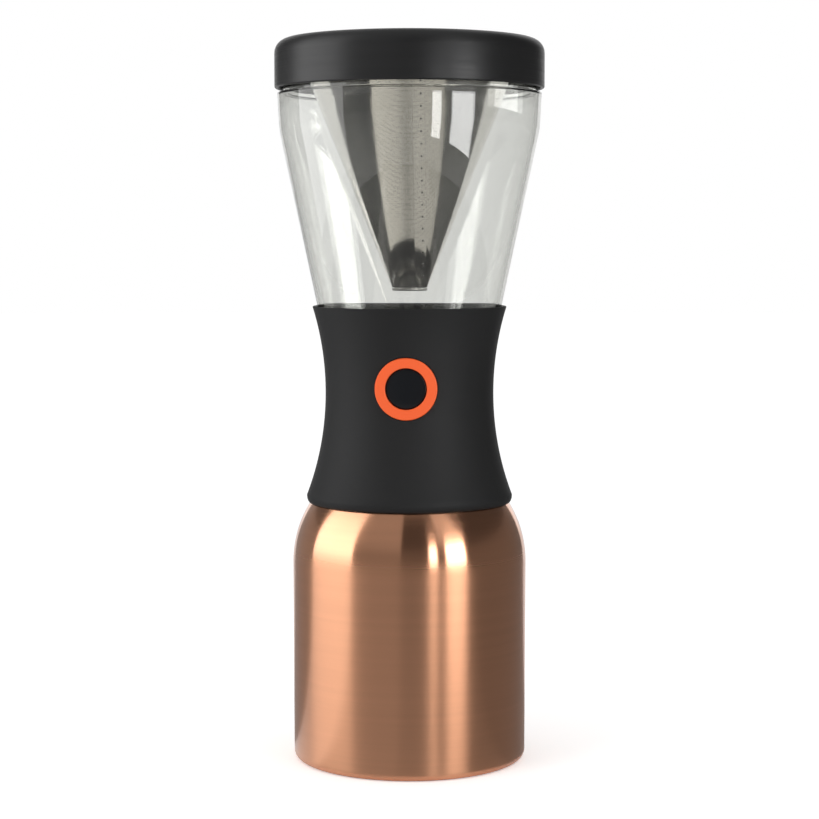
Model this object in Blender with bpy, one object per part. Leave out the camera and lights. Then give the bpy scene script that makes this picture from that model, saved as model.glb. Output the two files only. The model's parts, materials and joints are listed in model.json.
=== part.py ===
"""Cold brew coffee maker: a clear brewing jar with a steel filter cone, on an hourglass grip with
a drain button, on a double-walled carafe. Metres, +Z up. The origin is the centre of the base on
the surface it stands on, and the button faces -Y."""

import math

import bmesh
import bpy
from mathutils import Matrix, Vector

# Values shared by all pieces
CLEARANCE = 0.0003  # gap between a piece and the piece that it seats on or slides in
OVERRUN = 0.002  # how far a cutter runs past what it cuts
ROUND_STEPS = 32  # facets of a large turned piece
SMALL_STEPS = 16  # facets of a small turned piece
SMOOTH_ANGLE_DEG = 35.0  # edges sharper than this stay crisp

# Carafe, outer vessel
NECK_RADIUS = 0.036
NECK_HEIGHT = 0.0181  # from the end of the shoulder to the neck's edge
CARAFE_OVER_NECK = 0.0185  # how far the wall, where it meets the shoulder, stands out from the neck
CARAFE_DRAFT = 0.00025  # how much narrower the wall is at the foot
CARAFE_BODY_HEIGHT = 0.093  # from the floor to where the shoulder starts
CARAFE_SHOULDER_RADIUS = 0.0505  # arc that draws the wall in to the neck
CARAFE_FOOT_FILLET = 0.0037
CARAFE_FOOT_WIDTH = 0.004  # flat ring that is turned in under the fillet
CARAFE_WALL = 0.0008

# Carafe, inner vessel
VACUUM_GAP = 0.0037  # between the two walls
VACUUM_FLOOR_GAP = 0.0055  # between the base plate and the inner vessel
INNER_FLOOR_FILLET = 0.006
MOUTH_LIP = 0.001  # thickness of the lip that caps the outer neck

# Carafe, base plate, its sealing plug and the pad under it
BASE_PLATE = 0.0008
BASE_PLATE_SEAT = 0.003  # width of the plate's edge that lies on the foot ring
SEAL_PLUG_RADIUS = 0.0037
SEAL_PLUG_FLANGE = 0.0024
SEAL_PLUG_HEAD = 0.0007

# Grip shell: one hollow arc round a waist
GRIP_OVER_NECK = 0.00315  # how far the waist stands out from the carafe's neck
GRIP_LIP_INSET = 0.0079  # how far the lower lip stands in from the carafe's wall
GRIP_WAIST_HEIGHT = 0.0514  # from the lower lip to the waist
GRIP_UPPER_HEIGHT = 0.040  # from the waist to the rim
GRIP_WALL = 0.0016
GRIP_LIP_WIDTH = 0.0014  # the rounded lower lip
GRIP_LIP_HEIGHT = 0.0033
GRIP_LIP_GAP = 0.0005  # between the lower lip and the carafe's shoulder
GRIP_RIM_ROUND = 0.0006

# Seals between brewer and carafe
SHOULDER_SEAT_HEIGHT = 0.007
MOUTH_GASKET_WALL = 0.002
MOUTH_GASKET_FLANGE = 0.0011
MOUTH_GASKET_DEPTH = 0.0095  # how far the gasket reaches into the neck
MOUTH_GASKET_FIN = 0.0007  # the middle of the gasket is drawn in by this much

# Drip spout: flange, plug wall, funnel and spout in one moulding
SPOUT_FLANGE = 0.0027
SPOUT_WALL = 0.002
SPOUT_PLUG_DEPTH = 0.0095
SPOUT_FUNNEL_DROP = 0.0087
SPOUT_BORE_RADIUS = 0.0065
SPOUT_LENGTH = 0.0108

# Core housing inside the grip
CORE_WALL = 0.002
CORE_HEIGHT = 0.036  # below its top plate
CORE_PLATE = 0.003
BOSS_RADIUS = 0.003
BOSS_HEIGHT = 0.012
BOSS_INSET = 0.00035  # between the boss and the outside of the core's wall
BOSS_STEP = 0.0005  # the wall runs this far below the bosses

# Screws that clamp the drip spout to the core, with the grip between them
SCREW_COUNT = 3
SCREW_SHANK_RADIUS = 0.00125
SCREW_HEAD_RADIUS = 0.0023
SCREW_HEAD = 0.0017
SCREW_LENGTH = 0.0115
SCREW_DRIVE_RADIUS = 0.0011  # six-sided socket in the head
SCREW_DRIVE_DEPTH = 0.0009

# Brewing jar
JAR_WALL = 0.0025
JAR_TAPER_DEG = 12.05
JAR_FLOOR_FILLET = 0.010
JAR_GRIP_GAP = 0.00035
JAR_BEND_HEIGHT = 0.0922  # from the floor's underside to where the wall turns upright
JAR_BEND_RADIUS = 0.040
JAR_UPPER_DRAFT_DEG = 3.0
JAR_SHOULDER_HEIGHT = 0.1122  # from the floor's underside to the shoulder
JAR_SHOULDER_ROUND = 0.001
JAR_SHOULDER_WALL = 0.0012  # thickness of the step that leads in to the neck
JAR_SHOULDER_STEP = 0.00257  # from the shoulder in to the neck
JAR_NECK_HEIGHT = 0.016
JAR_GASKET = 0.0022
JAR_GASKET_WIDTH = 0.012
OUTLET_RADIUS = 0.008  # bore of the drain that is clamped in the jar's floor
OUTLET_WALL = 0.003
OUTLET_FLANGE = 0.0012  # thickness of the drain's flange, on which the stopper sits
OUTLET_FLANGE_WIDTH = 0.004
OUTLET_BELOW_NUT = 0.001
NUT_WIDTH = 0.0057
NUT_HEIGHT = 0.0057
NUT_CHAMFER = 0.0006

# Valve: spider, stem, stopper and spring
SPIDER_HEIGHT = 0.003
SPIDER_RING = 0.0012
SPIDER_HUB_WALL = 0.0013
SPIDER_ARMS = 3
SPIDER_ARM_WIDTH = 0.0016
STEM_RADIUS = 0.002
STEM_FOOT_RADIUS = 0.003
STEM_FOOT_TOP = 0.0018  # solid height of the foot above its highest sloping point
STOPPER_OVERLAP = 0.0035  # how far the stopper covers the drain's flange round the bore
STOPPER_HEIGHT = 0.0042
STOPPER_ROUND = 0.0012
STOPPER_CAP = 0.0015  # rubber above the stem's end
VALVE_SPRING_WIRE = 0.00035
VALVE_SPRING_RADIUS = 0.0029
VALVE_SPRING_TURNS = 3

# Button: ring, cap, plunger, guide, seal and spring
BUTTON_HEIGHT = 0.0197  # of the button's axis above the core's lower edge
BUTTON_TRAVEL = 0.004
RING_RADIUS = 0.0141
RING_WIDTH = 0.0047
RING_PROUD = 0.00075  # how far the ring's face stands out from the grip's waist
RING_BEVEL = 0.0005
BARREL_RADIUS = 0.0128
BARREL_WALL = 0.002
CAP_RECESS = 0.0012  # of the cap's face behind the ring's face
CAP_FLANGE = 0.0022
CAP_BEVEL = 0.0004
CAP_SOCKET_DEPTH = 0.002
GUIDE_WALL = 0.0019
GUIDE_FLOOR = 0.002
GUIDE_SOCKET_DEPTH = 0.0047  # how far the barrel screws into the guide
GUIDE_TAIL_WALL = 0.0025
GUIDE_TAIL_LENGTH = 0.010
SEAL_WIDTH = 0.0018
SEAL_GROOVE_LENGTH = 0.0024
SEAL_FROM_TAIL_END = 0.002
BUTTON_SPRING_WIRE = 0.0004
BUTTON_SPRING_OVER_PLUNGER = 0.0013
BUTTON_SPRING_TURNS = 4
BUTTON_SPRING_CLOSED = 0.0042  # room that the pressed spring is left
SPRING_POINTS_PER_TURN = 8

# Filter basket: plastic rim, steel cone and end cap
FILTER_RIM = 0.002
FILTER_RIM_WIDTH = 0.0061
FILTER_COLLAR_WALL = 0.0022
FILTER_COLLAR_DEPTH = 0.008
CONE_WALL = 0.0007
CONE_FLANGE_WIDTH = 0.0025
CONE_TIP_RADIUS = 0.0083
CONE_ABOVE_FLOOR = 0.0189  # from the jar's floor to the underside of the end cap
TIP_CAP = 0.0012
TIP_BOSS = 0.0026

# Lid
LID_WALL = 0.002
LID_TOP = 0.0025
LID_HEADROOM = 0.0026  # between the cone's flange and the lid's top
LID_ABOVE_SHOULDER = 0.0019  # of the lid's edge over the jar's shoulder
LID_TOP_FILLET = 0.0065
LID_INNER_FILLET = 0.002
LID_EDGE_ROUND = 0.0012
LID_GASKET_WALL = 0.0012
LID_GASKET_HEIGHT = 0.007
LID_GASKET_ABOVE_EDGE = 0.0022

# Colours
BLACK = (0.012, 0.012, 0.013)
COPPER = (0.62, 0.27, 0.14)
STEEL = (0.52, 0.51, 0.49)
CLEAR = (0.86, 0.89, 0.9)
ORANGE = (0.9, 0.13, 0.03)
SILICONE = (0.2, 0.2, 0.2)


def shoulder_height(radius, offset=0.0):
    """Height at which the carafe's shoulder arc, moved out by offset, has this radius."""
    across = radius - (carafe_radius - CARAFE_SHOULDER_RADIUS)
    arc = CARAFE_SHOULDER_RADIUS + offset
    return CARAFE_BODY_HEIGHT + math.sqrt(arc**2 - across**2)


def shoulder_radius(z, offset=0.0):
    """Radius of the carafe's shoulder, or of the neck above it, moved out by offset, at this height."""
    arc = CARAFE_SHOULDER_RADIUS + offset
    across = math.sqrt(arc**2 - (z - CARAFE_BODY_HEIGHT) ** 2)
    return max(carafe_radius - CARAFE_SHOULDER_RADIUS + across, NECK_RADIUS + offset)


def grip_flare(above_waist):
    """How much wider than the waist the grip is at this height above or below it."""
    return grip_arc_radius - math.sqrt(grip_arc_radius**2 - above_waist**2)


# Radii and heights that follow from the driving sizes, from the carafe upward
carafe_radius = NECK_RADIUS + CARAFE_OVER_NECK
grip_waist_radius = NECK_RADIUS + GRIP_OVER_NECK
grip_lip_radius = carafe_radius - GRIP_LIP_INSET
# The grip's side is the arc that stands upright at the waist and meets the lower lip
grip_foot_flare = grip_lip_radius + GRIP_LIP_WIDTH - grip_waist_radius
grip_foot_drop = GRIP_WAIST_HEIGHT - GRIP_LIP_HEIGHT
grip_arc_radius = (grip_foot_drop**2 + grip_foot_flare**2) / (2 * grip_foot_flare)
grip_bottom = shoulder_height(grip_lip_radius) + GRIP_LIP_GAP
grip_waist = grip_bottom + GRIP_WAIST_HEIGHT
grip_top = grip_waist + GRIP_UPPER_HEIGHT

neck_bottom = shoulder_height(NECK_RADIUS)
neck_top = neck_bottom + NECK_HEIGHT
inner_neck_radius = NECK_RADIUS - CARAFE_WALL - CLEARANCE
mouth_radius = inner_neck_radius - CARAFE_WALL
mouth_top = neck_top + CLEARANCE + MOUTH_LIP

gasket_flange_bottom = mouth_top + CLEARANCE
spout_flange_bottom = gasket_flange_bottom + MOUTH_GASKET_FLANGE + CLEARANCE
spout_flange_top = spout_flange_bottom + SPOUT_FLANGE
gasket_radius = mouth_radius - CLEARANCE
plug_radius = gasket_radius - MOUTH_GASKET_WALL - CLEARANCE
core_bottom = spout_flange_top + CLEARANCE
core_radius = grip_waist_radius - GRIP_WALL - CLEARANCE
core_plate_bottom = core_bottom + CORE_HEIGHT
core_top = core_plate_bottom + CORE_PLATE
screw_circle = core_radius - BOSS_INSET - BOSS_RADIUS

jar_gasket_bottom = core_top + CLEARANCE
jar_bottom = jar_gasket_bottom + JAR_GASKET + CLEARANCE
jar_floor = jar_bottom + JAR_WALL
outlet_outer_radius = OUTLET_RADIUS + OUTLET_WALL
outlet_hole_radius = outlet_outer_radius + CLEARANCE
outlet_flange_bottom = jar_floor + CLEARANCE
outlet_top = outlet_flange_bottom + OUTLET_FLANGE
nut_top = core_plate_bottom - CLEARANCE
nut_bottom = nut_top - NUT_HEIGHT
outlet_bottom = nut_bottom - OUTLET_BELOW_NUT
jar_taper = math.radians(JAR_TAPER_DEG)
jar_upper_draft = math.radians(JAR_UPPER_DRAFT_DEG)
jar_fillet_end = jar_bottom + JAR_FLOOR_FILLET * (1 - math.sin(jar_taper))
jar_shoulder = jar_bottom + JAR_SHOULDER_HEIGHT
jar_top = jar_shoulder + JAR_NECK_HEIGHT

button_axis = core_bottom + BUTTON_HEIGHT
ring_face = -(grip_waist_radius + RING_PROUD)
ring_lip_back = -(core_radius + CLEARANCE)
ring_bore_radius = RING_RADIUS - RING_WIDTH
cap_face = ring_face + CAP_RECESS
cap_flange_front = ring_lip_back + CLEARANCE
cap_back = cap_flange_front + CAP_FLANGE
barrel_back = cap_back + BUTTON_TRAVEL + BUTTON_SPRING_CLOSED
guide_floor_front = barrel_back + CLEARANCE
guide_floor_back = guide_floor_front + GUIDE_FLOOR
guide_tail_end = guide_floor_back + GUIDE_TAIL_LENGTH
# The plunger's 45 degree end is as tall as the stem's foot is wide, and the travel on top
plunger_radius = STEM_FOOT_RADIUS + BUTTON_TRAVEL / 2
plunger_low = button_axis - plunger_radius

spider_bottom = outlet_bottom + CLEARANCE
stem_slope_foot = plunger_low + math.sqrt(2) * CLEARANCE
stem_foot_top = stem_slope_foot + 2 * STEM_FOOT_RADIUS + STEM_FOOT_TOP
stopper_bottom = outlet_top + CLEARANCE
stopper_top = stopper_bottom + STOPPER_HEIGHT
stem_top = stopper_top - STOPPER_CAP

filter_rim_bottom = jar_top + CLEARANCE
cone_flange_bottom = filter_rim_bottom + FILTER_RIM + CLEARANCE
cone_flange_top = cone_flange_bottom + CONE_WALL
tip_bottom = jar_floor + CONE_ABOVE_FLOOR
cone_bottom = tip_bottom + TIP_CAP + CLEARANCE
lid_ceiling = cone_flange_top + LID_HEADROOM
lid_top = lid_ceiling + LID_TOP
lid_bottom = jar_shoulder + LID_ABOVE_SHOULDER


def grip_radius(z):
    """Radius of the grip's outside at this height."""
    return grip_waist_radius + grip_flare(z - grip_waist)


def grip_inner_radius(z):
    """Radius of the grip's inside at this height."""
    return grip_radius(z) - GRIP_WALL


def jar_wall_radius(z):
    """Radius of the jar's straight lower wall, carried on to this height."""
    start = grip_inner_radius(jar_fillet_end) - JAR_GRIP_GAP
    return start + (z - jar_fillet_end) * math.tan(jar_taper)


# The jar's bend from its taper to its upper draft, and the radii that follow from it
bend_start = jar_bottom + JAR_BEND_HEIGHT
bend_centre = (
    jar_wall_radius(bend_start) - JAR_BEND_RADIUS * math.cos(jar_taper),
    bend_start + JAR_BEND_RADIUS * math.sin(jar_taper),
)
bend_end = bend_centre[1] - JAR_BEND_RADIUS * math.sin(jar_upper_draft)
jar_bend_end_radius = bend_centre[0] + JAR_BEND_RADIUS * math.cos(jar_upper_draft)
jar_shoulder_radius = jar_bend_end_radius + (jar_shoulder - bend_end) * math.tan(jar_upper_draft)
jar_neck_radius = jar_shoulder_radius - JAR_SHOULDER_STEP
jar_mouth_radius = jar_neck_radius - JAR_WALL
lid_gasket_radius = jar_neck_radius + CLEARANCE + LID_GASKET_WALL
lid_inner_radius = lid_gasket_radius + CLEARANCE
lid_radius = lid_inner_radius + LID_WALL
filter_rim_radius = jar_neck_radius - CLEARANCE
filter_hole_radius = filter_rim_radius - FILTER_RIM_WIDTH
cone_top_radius = filter_hole_radius - CLEARANCE


def clear_scene():
    """Remove everything that the file holds at the start."""
    for old in list(bpy.data.objects):
        bpy.data.objects.remove(old, do_unlink=True)


def material(name, colour, roughness, metallic=0.0, transmission=0.0):
    """A Principled material of this colour and finish."""
    made = bpy.data.materials.new(name)
    made.use_nodes = True
    shader = made.node_tree.nodes["Principled BSDF"]
    shader.inputs["Base Color"].default_value = (*colour, 1.0)
    shader.inputs["Roughness"].default_value = roughness
    shader.inputs["Metallic"].default_value = metallic
    shader.inputs["Transmission Weight"].default_value = transmission
    made.diffuse_color = (*colour, 1.0)
    return made


def arc(centre, radius, start, end, steps):
    """Points (r, z) along an arc; angles are in radians from the r axis."""
    share = [i / steps for i in range(steps + 1)]
    angles = [start + (end - start) * s for s in share]
    return [(centre[0] + radius * math.cos(a), centre[1] + radius * math.sin(a)) for a in angles]


def heights(start, end, steps):
    """Evenly spaced values from start to end."""
    return [start + (end - start) * i / steps for i in range(steps + 1)]


def turned(name, outline, finish, steps=ROUND_STEPS, centre=(0.0, 0.0, 0.0), along_y=False):
    """A closed outline (r, z) spun round Z; along_y lays its axis along +Y instead."""
    shape = bmesh.new()
    points = [shape.verts.new((max(r, 0.0), 0.0, z)) for r, z in outline]
    for here, after in zip(points, points[1:] + points[:1]):
        if here.co.x > 0.0 or after.co.x > 0.0:
            shape.edges.new((here, after))
    bmesh.ops.spin(
        shape,
        geom=shape.verts[:] + shape.edges[:],
        cent=(0.0, 0.0, 0.0),
        axis=(0.0, 0.0, 1.0),
        angle=math.tau,
        steps=steps,
    )
    bmesh.ops.remove_doubles(shape, verts=shape.verts[:], dist=CLEARANCE / steps / steps)
    bmesh.ops.recalc_face_normals(shape, faces=shape.faces[:])
    if along_y:
        bmesh.ops.rotate(
            shape, verts=shape.verts[:], cent=(0, 0, 0), matrix=Matrix.Rotation(-math.pi / 2, 3, "X")
        )
    return placed(name, shape, finish, centre)


def placed(name, shape, finish, centre=(0.0, 0.0, 0.0)):
    """Turn a finished bmesh into a named object with its own material."""
    mesh = bpy.data.meshes.new(name)
    shape.to_mesh(mesh)
    shape.free()
    mesh.shade_smooth()
    mesh.set_sharp_from_angle(angle=math.radians(SMOOTH_ANGLE_DEG))
    mesh.materials.append(finish)
    piece = bpy.data.objects.new(name, mesh)
    piece.location = centre
    bpy.context.collection.objects.link(piece)
    return piece


def helper(piece, name):
    """Mark an object as a cutter or as the second half of a union."""
    piece.name = name
    piece.hide_render = True
    piece.display_type = "WIRE"
    return piece


def boolean(piece, other, operation):
    """Cut, join or trim a piece with a helper object."""
    change = piece.modifiers.new(other.name, "BOOLEAN")
    change.solver = "EXACT"
    change.operation = operation
    change.object = other


def rod(name, radius, start, end, finish, steps=SMALL_STEPS, centre=(0.0, 0.0, 0.0), along_y=False):
    """A plain cylinder between two places on its axis."""
    outline = [(0.0, start), (radius, start), (radius, end), (0.0, end)]
    return turned(name, outline, finish, steps, centre, along_y)


def ring(name, inner, outer, start, end, finish, steps=ROUND_STEPS, bevel=0.0):
    """A flat ring round Z, with its four edges bevelled."""
    outline = [(inner, start), (outer, start), (outer, end), (inner, end)]
    if bevel:
        outline = [
            (inner + bevel, start), (outer - bevel, start), (outer, start + bevel),
            (outer, end - bevel), (outer - bevel, end), (inner + bevel, end),
            (inner, end - bevel), (inner, start + bevel),
        ]
    return turned(name, outline, finish, steps)


def spring(name, radius, wire, turns, start, end, finish, centre, along_y=False):
    """A compression spring: one wire wound round its axis between two places on it."""
    curve = bpy.data.curves.new(name, "CURVE")
    curve.dimensions = "3D"
    curve.bevel_depth = wire
    curve.bevel_resolution = 1
    curve.use_fill_caps = True
    curve.fill_mode = "FULL"
    count = turns * SPRING_POINTS_PER_TURN
    line = curve.splines.new("POLY")
    line.points.add(count)
    low, high = start + wire + CLEARANCE, end - wire - CLEARANCE
    for i, point in enumerate(line.points):
        angle = math.tau * i / SPRING_POINTS_PER_TURN
        along = low + (high - low) * i / count
        across = Vector((radius * math.cos(angle), radius * math.sin(angle), along))
        point.co = (*(Matrix.Rotation(-math.pi / 2, 3, "X") @ across if along_y else across), 1.0)
    curve.materials.append(finish)
    piece = bpy.data.objects.new(name, curve)
    piece.location = centre
    bpy.context.collection.objects.link(piece)
    return piece


def carafe_outer():
    """Outer vessel: turned-in foot, near-straight wall, arc shoulder and neck."""
    foot = carafe_radius - CARAFE_DRAFT - CARAFE_FOOT_FILLET
    arc_centre = (carafe_radius - CARAFE_SHOULDER_RADIUS, CARAFE_BODY_HEIGHT)
    neck_angle = math.acos((NECK_RADIUS - arc_centre[0]) / CARAFE_SHOULDER_RADIUS)
    inner_arc = CARAFE_SHOULDER_RADIUS - CARAFE_WALL
    inner_angle = math.acos((NECK_RADIUS - CARAFE_WALL - arc_centre[0]) / inner_arc)
    outline = [(foot - CARAFE_FOOT_WIDTH, 0.0)]
    outline += arc((foot, CARAFE_FOOT_FILLET), CARAFE_FOOT_FILLET, -math.pi / 2, 0.0, 4)
    outline += arc(arc_centre, CARAFE_SHOULDER_RADIUS, 0.0, neck_angle, 7)
    outline += [(NECK_RADIUS, neck_top), (NECK_RADIUS - CARAFE_WALL, neck_top)]
    outline += arc(arc_centre, inner_arc, inner_angle, 0.0, 7)
    outline += arc((foot, CARAFE_FOOT_FILLET), CARAFE_FOOT_FILLET - CARAFE_WALL, 0.0, -math.pi / 2, 3)
    outline += [(foot - CARAFE_FOOT_WIDTH, CARAFE_WALL)]
    return turned("carafe_outer", outline, material("copper_body", COPPER, 0.3, 1.0))


def carafe_inner():
    """Inner vessel that hangs in the outer one from a lip over its neck."""
    offset = CARAFE_WALL + VACUUM_GAP
    outer_arc = CARAFE_SHOULDER_RADIUS - offset
    inner_arc = outer_arc - CARAFE_WALL
    arc_centre = (carafe_radius - CARAFE_SHOULDER_RADIUS, CARAFE_BODY_HEIGHT)
    outer_angle = math.acos((inner_neck_radius - arc_centre[0]) / outer_arc)
    inner_angle = math.acos((mouth_radius - arc_centre[0]) / inner_arc)
    bottom = CARAFE_WALL + CLEARANCE + BASE_PLATE + VACUUM_FLOOR_GAP
    wall = carafe_radius - CARAFE_DRAFT - offset
    corner = (wall - INNER_FLOOR_FILLET, bottom + INNER_FLOOR_FILLET)
    outline = [(0.0, bottom)]
    outline += arc(corner, INNER_FLOOR_FILLET, -math.pi / 2, 0.0, 4)
    outline += arc(arc_centre, outer_arc, 0.0, outer_angle, 6)
    outline += [(inner_neck_radius, neck_top + CLEARANCE), (NECK_RADIUS, neck_top + CLEARANCE)]
    outline += [(NECK_RADIUS, mouth_top), (mouth_radius, mouth_top)]
    outline += arc(arc_centre, inner_arc, inner_angle, 0.0, 6)
    outline += arc(corner, INNER_FLOOR_FILLET - CARAFE_WALL, 0.0, -math.pi / 2, 4)
    outline += [(0.0, bottom + CARAFE_WALL)]
    return turned("carafe_inner", outline, material("steel_liner", STEEL, 0.25, 1.0))


def carafe_base():
    """Base plate on the foot ring, its sealing plug, and the pad that the carafe stands on."""
    pad_radius = carafe_radius - CARAFE_DRAFT - CARAFE_FOOT_FILLET - CARAFE_FOOT_WIDTH - CLEARANCE
    plate_radius = pad_radius + CLEARANCE + BASE_PLATE_SEAT
    plate_bottom = CARAFE_WALL + CLEARANCE
    plate_top = plate_bottom + BASE_PLATE
    hole = SEAL_PLUG_RADIUS + CLEARANCE
    ring("carafe_base", hole, plate_radius, plate_bottom, plate_top, material("base_steel", STEEL, 0.4, 1.0))
    flange_bottom = plate_top + CLEARANCE
    flange_radius = hole + SEAL_PLUG_FLANGE
    plug = [
        (0.0, plate_bottom), (SEAL_PLUG_RADIUS, plate_bottom), (SEAL_PLUG_RADIUS, flange_bottom),
        (flange_radius, flange_bottom), (flange_radius, flange_bottom + SEAL_PLUG_HEAD),
        (0.0, flange_bottom + SEAL_PLUG_HEAD),
    ]
    turned("vacuum_seal", plug, material("seal_metal", STEEL, 0.5, 1.0), SMALL_STEPS)
    rod("base_pad", pad_radius, 0.0, CARAFE_WALL, material("pad_rubber", SILICONE, 0.8), ROUND_STEPS)


def front_hole(piece, name, radius, back):
    """Cut a round hole, along the button's axis, in the front of a piece."""
    front = ring_face - OVERRUN
    cutter = rod(name, radius, front, back, None, SMALL_STEPS * 2, (0.0, 0.0, button_axis), True)
    boolean(piece, helper(cutter, name), "DIFFERENCE")


def grip_shell():
    """Hourglass grip: an arc round the waist, a rounded lower lip and a thin upper rim."""
    lip_centre = (grip_lip_radius, grip_bottom + GRIP_LIP_HEIGHT)
    lip_steps = 4
    lip = [
        (
            lip_centre[0] + GRIP_LIP_WIDTH * math.sin(math.pi / 2 * i / lip_steps),
            lip_centre[1] - GRIP_LIP_HEIGHT * math.cos(math.pi / 2 * i / lip_steps),
        )
        for i in range(lip_steps)
    ]
    rim = grip_top - GRIP_RIM_ROUND
    outside = [(grip_radius(z), z) for z in heights(lip_centre[1], rim, 9)]
    top = [
        (grip_radius(rim) - GRIP_RIM_ROUND, grip_top),
        (grip_inner_radius(rim), grip_top),
    ]
    inside = [(grip_inner_radius(z), z) for z in heights(rim, lip_centre[1], 9)]
    piece = turned("grip_shell", lip + outside + top + inside, material("grip_black", BLACK, 0.6))
    front_hole(piece, "grip_button_hole", RING_RADIUS + CLEARANCE, -core_radius / 2)
    return piece


def shoulder_seat():
    """Soft ring in the grip's lower flare, through which the brewer stands on the carafe."""
    bottom = grip_bottom + GRIP_LIP_HEIGHT
    top = bottom + SHOULDER_SEAT_HEIGHT
    levels = heights(bottom, top, 3)
    outside = [(grip_inner_radius(z) - CLEARANCE, z) for z in levels]
    inside = [(shoulder_radius(z, CLEARANCE) + CLEARANCE, z) for z in reversed(levels)]
    return turned("shoulder_seat", outside + inside, material("seat_silicone", SILICONE, 0.7))


def mouth_gasket():
    """Silicone gasket round the spout's plug, with a flange over the carafe's mouth."""
    inner = plug_radius + CLEARANCE
    top = gasket_flange_bottom + MOUTH_GASKET_FLANGE
    bottom = top - MOUTH_GASKET_DEPTH
    fin = MOUTH_GASKET_FIN
    waist = gasket_radius - fin
    outline = [
        (inner, bottom), (waist, bottom), (gasket_radius, bottom + fin), (waist, bottom + fin * 2),
        (waist, bottom + fin * 5), (gasket_radius, bottom + fin * 6), (waist, bottom + fin * 7),
        (waist, gasket_flange_bottom), (NECK_RADIUS, gasket_flange_bottom), (NECK_RADIUS, top),
        (inner, top),
    ]
    return turned("mouth_gasket", outline, material("gasket_silicone", SILICONE, 0.7))


def screw_places():
    """Centres of the screws, one of them opposite the button."""
    angles = [math.pi / 2 + math.tau * i / SCREW_COUNT for i in range(SCREW_COUNT)]
    return [(screw_circle * math.cos(a), screw_circle * math.sin(a)) for a in angles]


def drip_spout():
    """Flange, plug wall, funnel and spout that lead the coffee into the carafe."""
    flange_radius = grip_inner_radius(spout_flange_top) - CLEARANCE
    bore = plug_radius - SPOUT_WALL
    spout_radius = SPOUT_BORE_RADIUS + SPOUT_WALL
    plug_bottom = spout_flange_bottom - SPOUT_PLUG_DEPTH
    funnel_bottom = plug_bottom - SPOUT_FUNNEL_DROP
    spout_end = funnel_bottom - SPOUT_LENGTH
    outline = [
        (SPOUT_BORE_RADIUS, spout_end), (spout_radius, spout_end), (spout_radius, funnel_bottom),
        (plug_radius, plug_bottom), (plug_radius, spout_flange_bottom),
        (flange_radius, spout_flange_bottom), (flange_radius, spout_flange_top),
        (bore, spout_flange_top), (bore, plug_bottom + SPOUT_WALL),
        (SPOUT_BORE_RADIUS, funnel_bottom + SPOUT_WALL),
    ]
    piece = turned("drip_spout", outline, material("spout_plastic", BLACK, 0.5))
    hole = SCREW_SHANK_RADIUS + CLEARANCE
    head = SCREW_HEAD_RADIUS + CLEARANCE
    head_top = spout_flange_bottom + SCREW_HEAD + CLEARANCE
    for i, place in enumerate(screw_places()):
        outline = [
            (0.0, spout_flange_bottom - CLEARANCE), (head, spout_flange_bottom - CLEARANCE),
            (head, head_top), (hole, head_top), (hole, spout_flange_top + OVERRUN),
            (0.0, spout_flange_top + OVERRUN),
        ]
        name = f"spout_screw_hole_{i + 1}"
        cutter = turned(name, outline, None, SMALL_STEPS, (*place, 0.0))
        boolean(piece, helper(cutter, name), "DIFFERENCE")
    return piece


def core_housing():
    """Cup inside the grip: a top plate that carries the jar, a wall, and screw bosses."""
    bore = core_radius - CORE_WALL
    plate_radius = grip_inner_radius(core_plate_bottom) - CLEARANCE
    hole = outlet_hole_radius
    outline = [
        (bore, core_bottom), (core_radius, core_bottom), (core_radius, core_plate_bottom),
        (plate_radius, core_plate_bottom), (plate_radius, core_top), (hole, core_top),
        (hole, core_plate_bottom), (bore, core_plate_bottom),
    ]
    piece = turned("core_housing", outline, material("core_plastic", BLACK, 0.5))
    for i, place in enumerate(screw_places()):
        name = f"core_boss_{i + 1}"
        boss_top = core_bottom + BOSS_HEIGHT
        centre = (*place, 0.0)
        boss = rod(name, BOSS_RADIUS, core_bottom + BOSS_STEP, boss_top, None, SMALL_STEPS, centre)
        boolean(piece, helper(boss, name), "UNION")
    for i, place in enumerate(screw_places()):
        name = f"core_pilot_{i + 1}"
        hole = SCREW_SHANK_RADIUS + CLEARANCE
        deep = spout_flange_bottom + SCREW_HEAD + SCREW_LENGTH
        start = core_bottom - OVERRUN
        centre = (*place, 0.0)
        pilot = rod(name, hole, start, deep, None, SMALL_STEPS, centre)
        boolean(piece, helper(pilot, name), "DIFFERENCE")
    front_hole(piece, "core_button_hole", BARREL_RADIUS + CLEARANCE, -core_radius / 2)
    return piece


def screws():
    """Pan-headed screws with a six-sided socket, heads down."""
    head_top = spout_flange_bottom + SCREW_HEAD
    end = head_top + SCREW_LENGTH - CLEARANCE
    for i, place in enumerate(screw_places()):
        outline = [
            (0.0, spout_flange_bottom), (SCREW_HEAD_RADIUS, spout_flange_bottom),
            (SCREW_HEAD_RADIUS, head_top), (SCREW_SHANK_RADIUS, head_top),
            (SCREW_SHANK_RADIUS, end - SCREW_SHANK_RADIUS), (0.0, end),
        ]
        steel = material(f"screw_steel_{i + 1}", STEEL, 0.3, 1.0)
        piece = turned(f"core_screw_{i + 1}", outline, steel, SMALL_STEPS, (*place, 0.0))
        name = f"screw_drive_{i + 1}"
        low = spout_flange_bottom - OVERRUN
        high = spout_flange_bottom + SCREW_DRIVE_DEPTH
        drive = rod(name, SCREW_DRIVE_RADIUS, low, high, None, 6, (*place, 0.0))
        boolean(piece, helper(drive, name), "DIFFERENCE")


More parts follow.
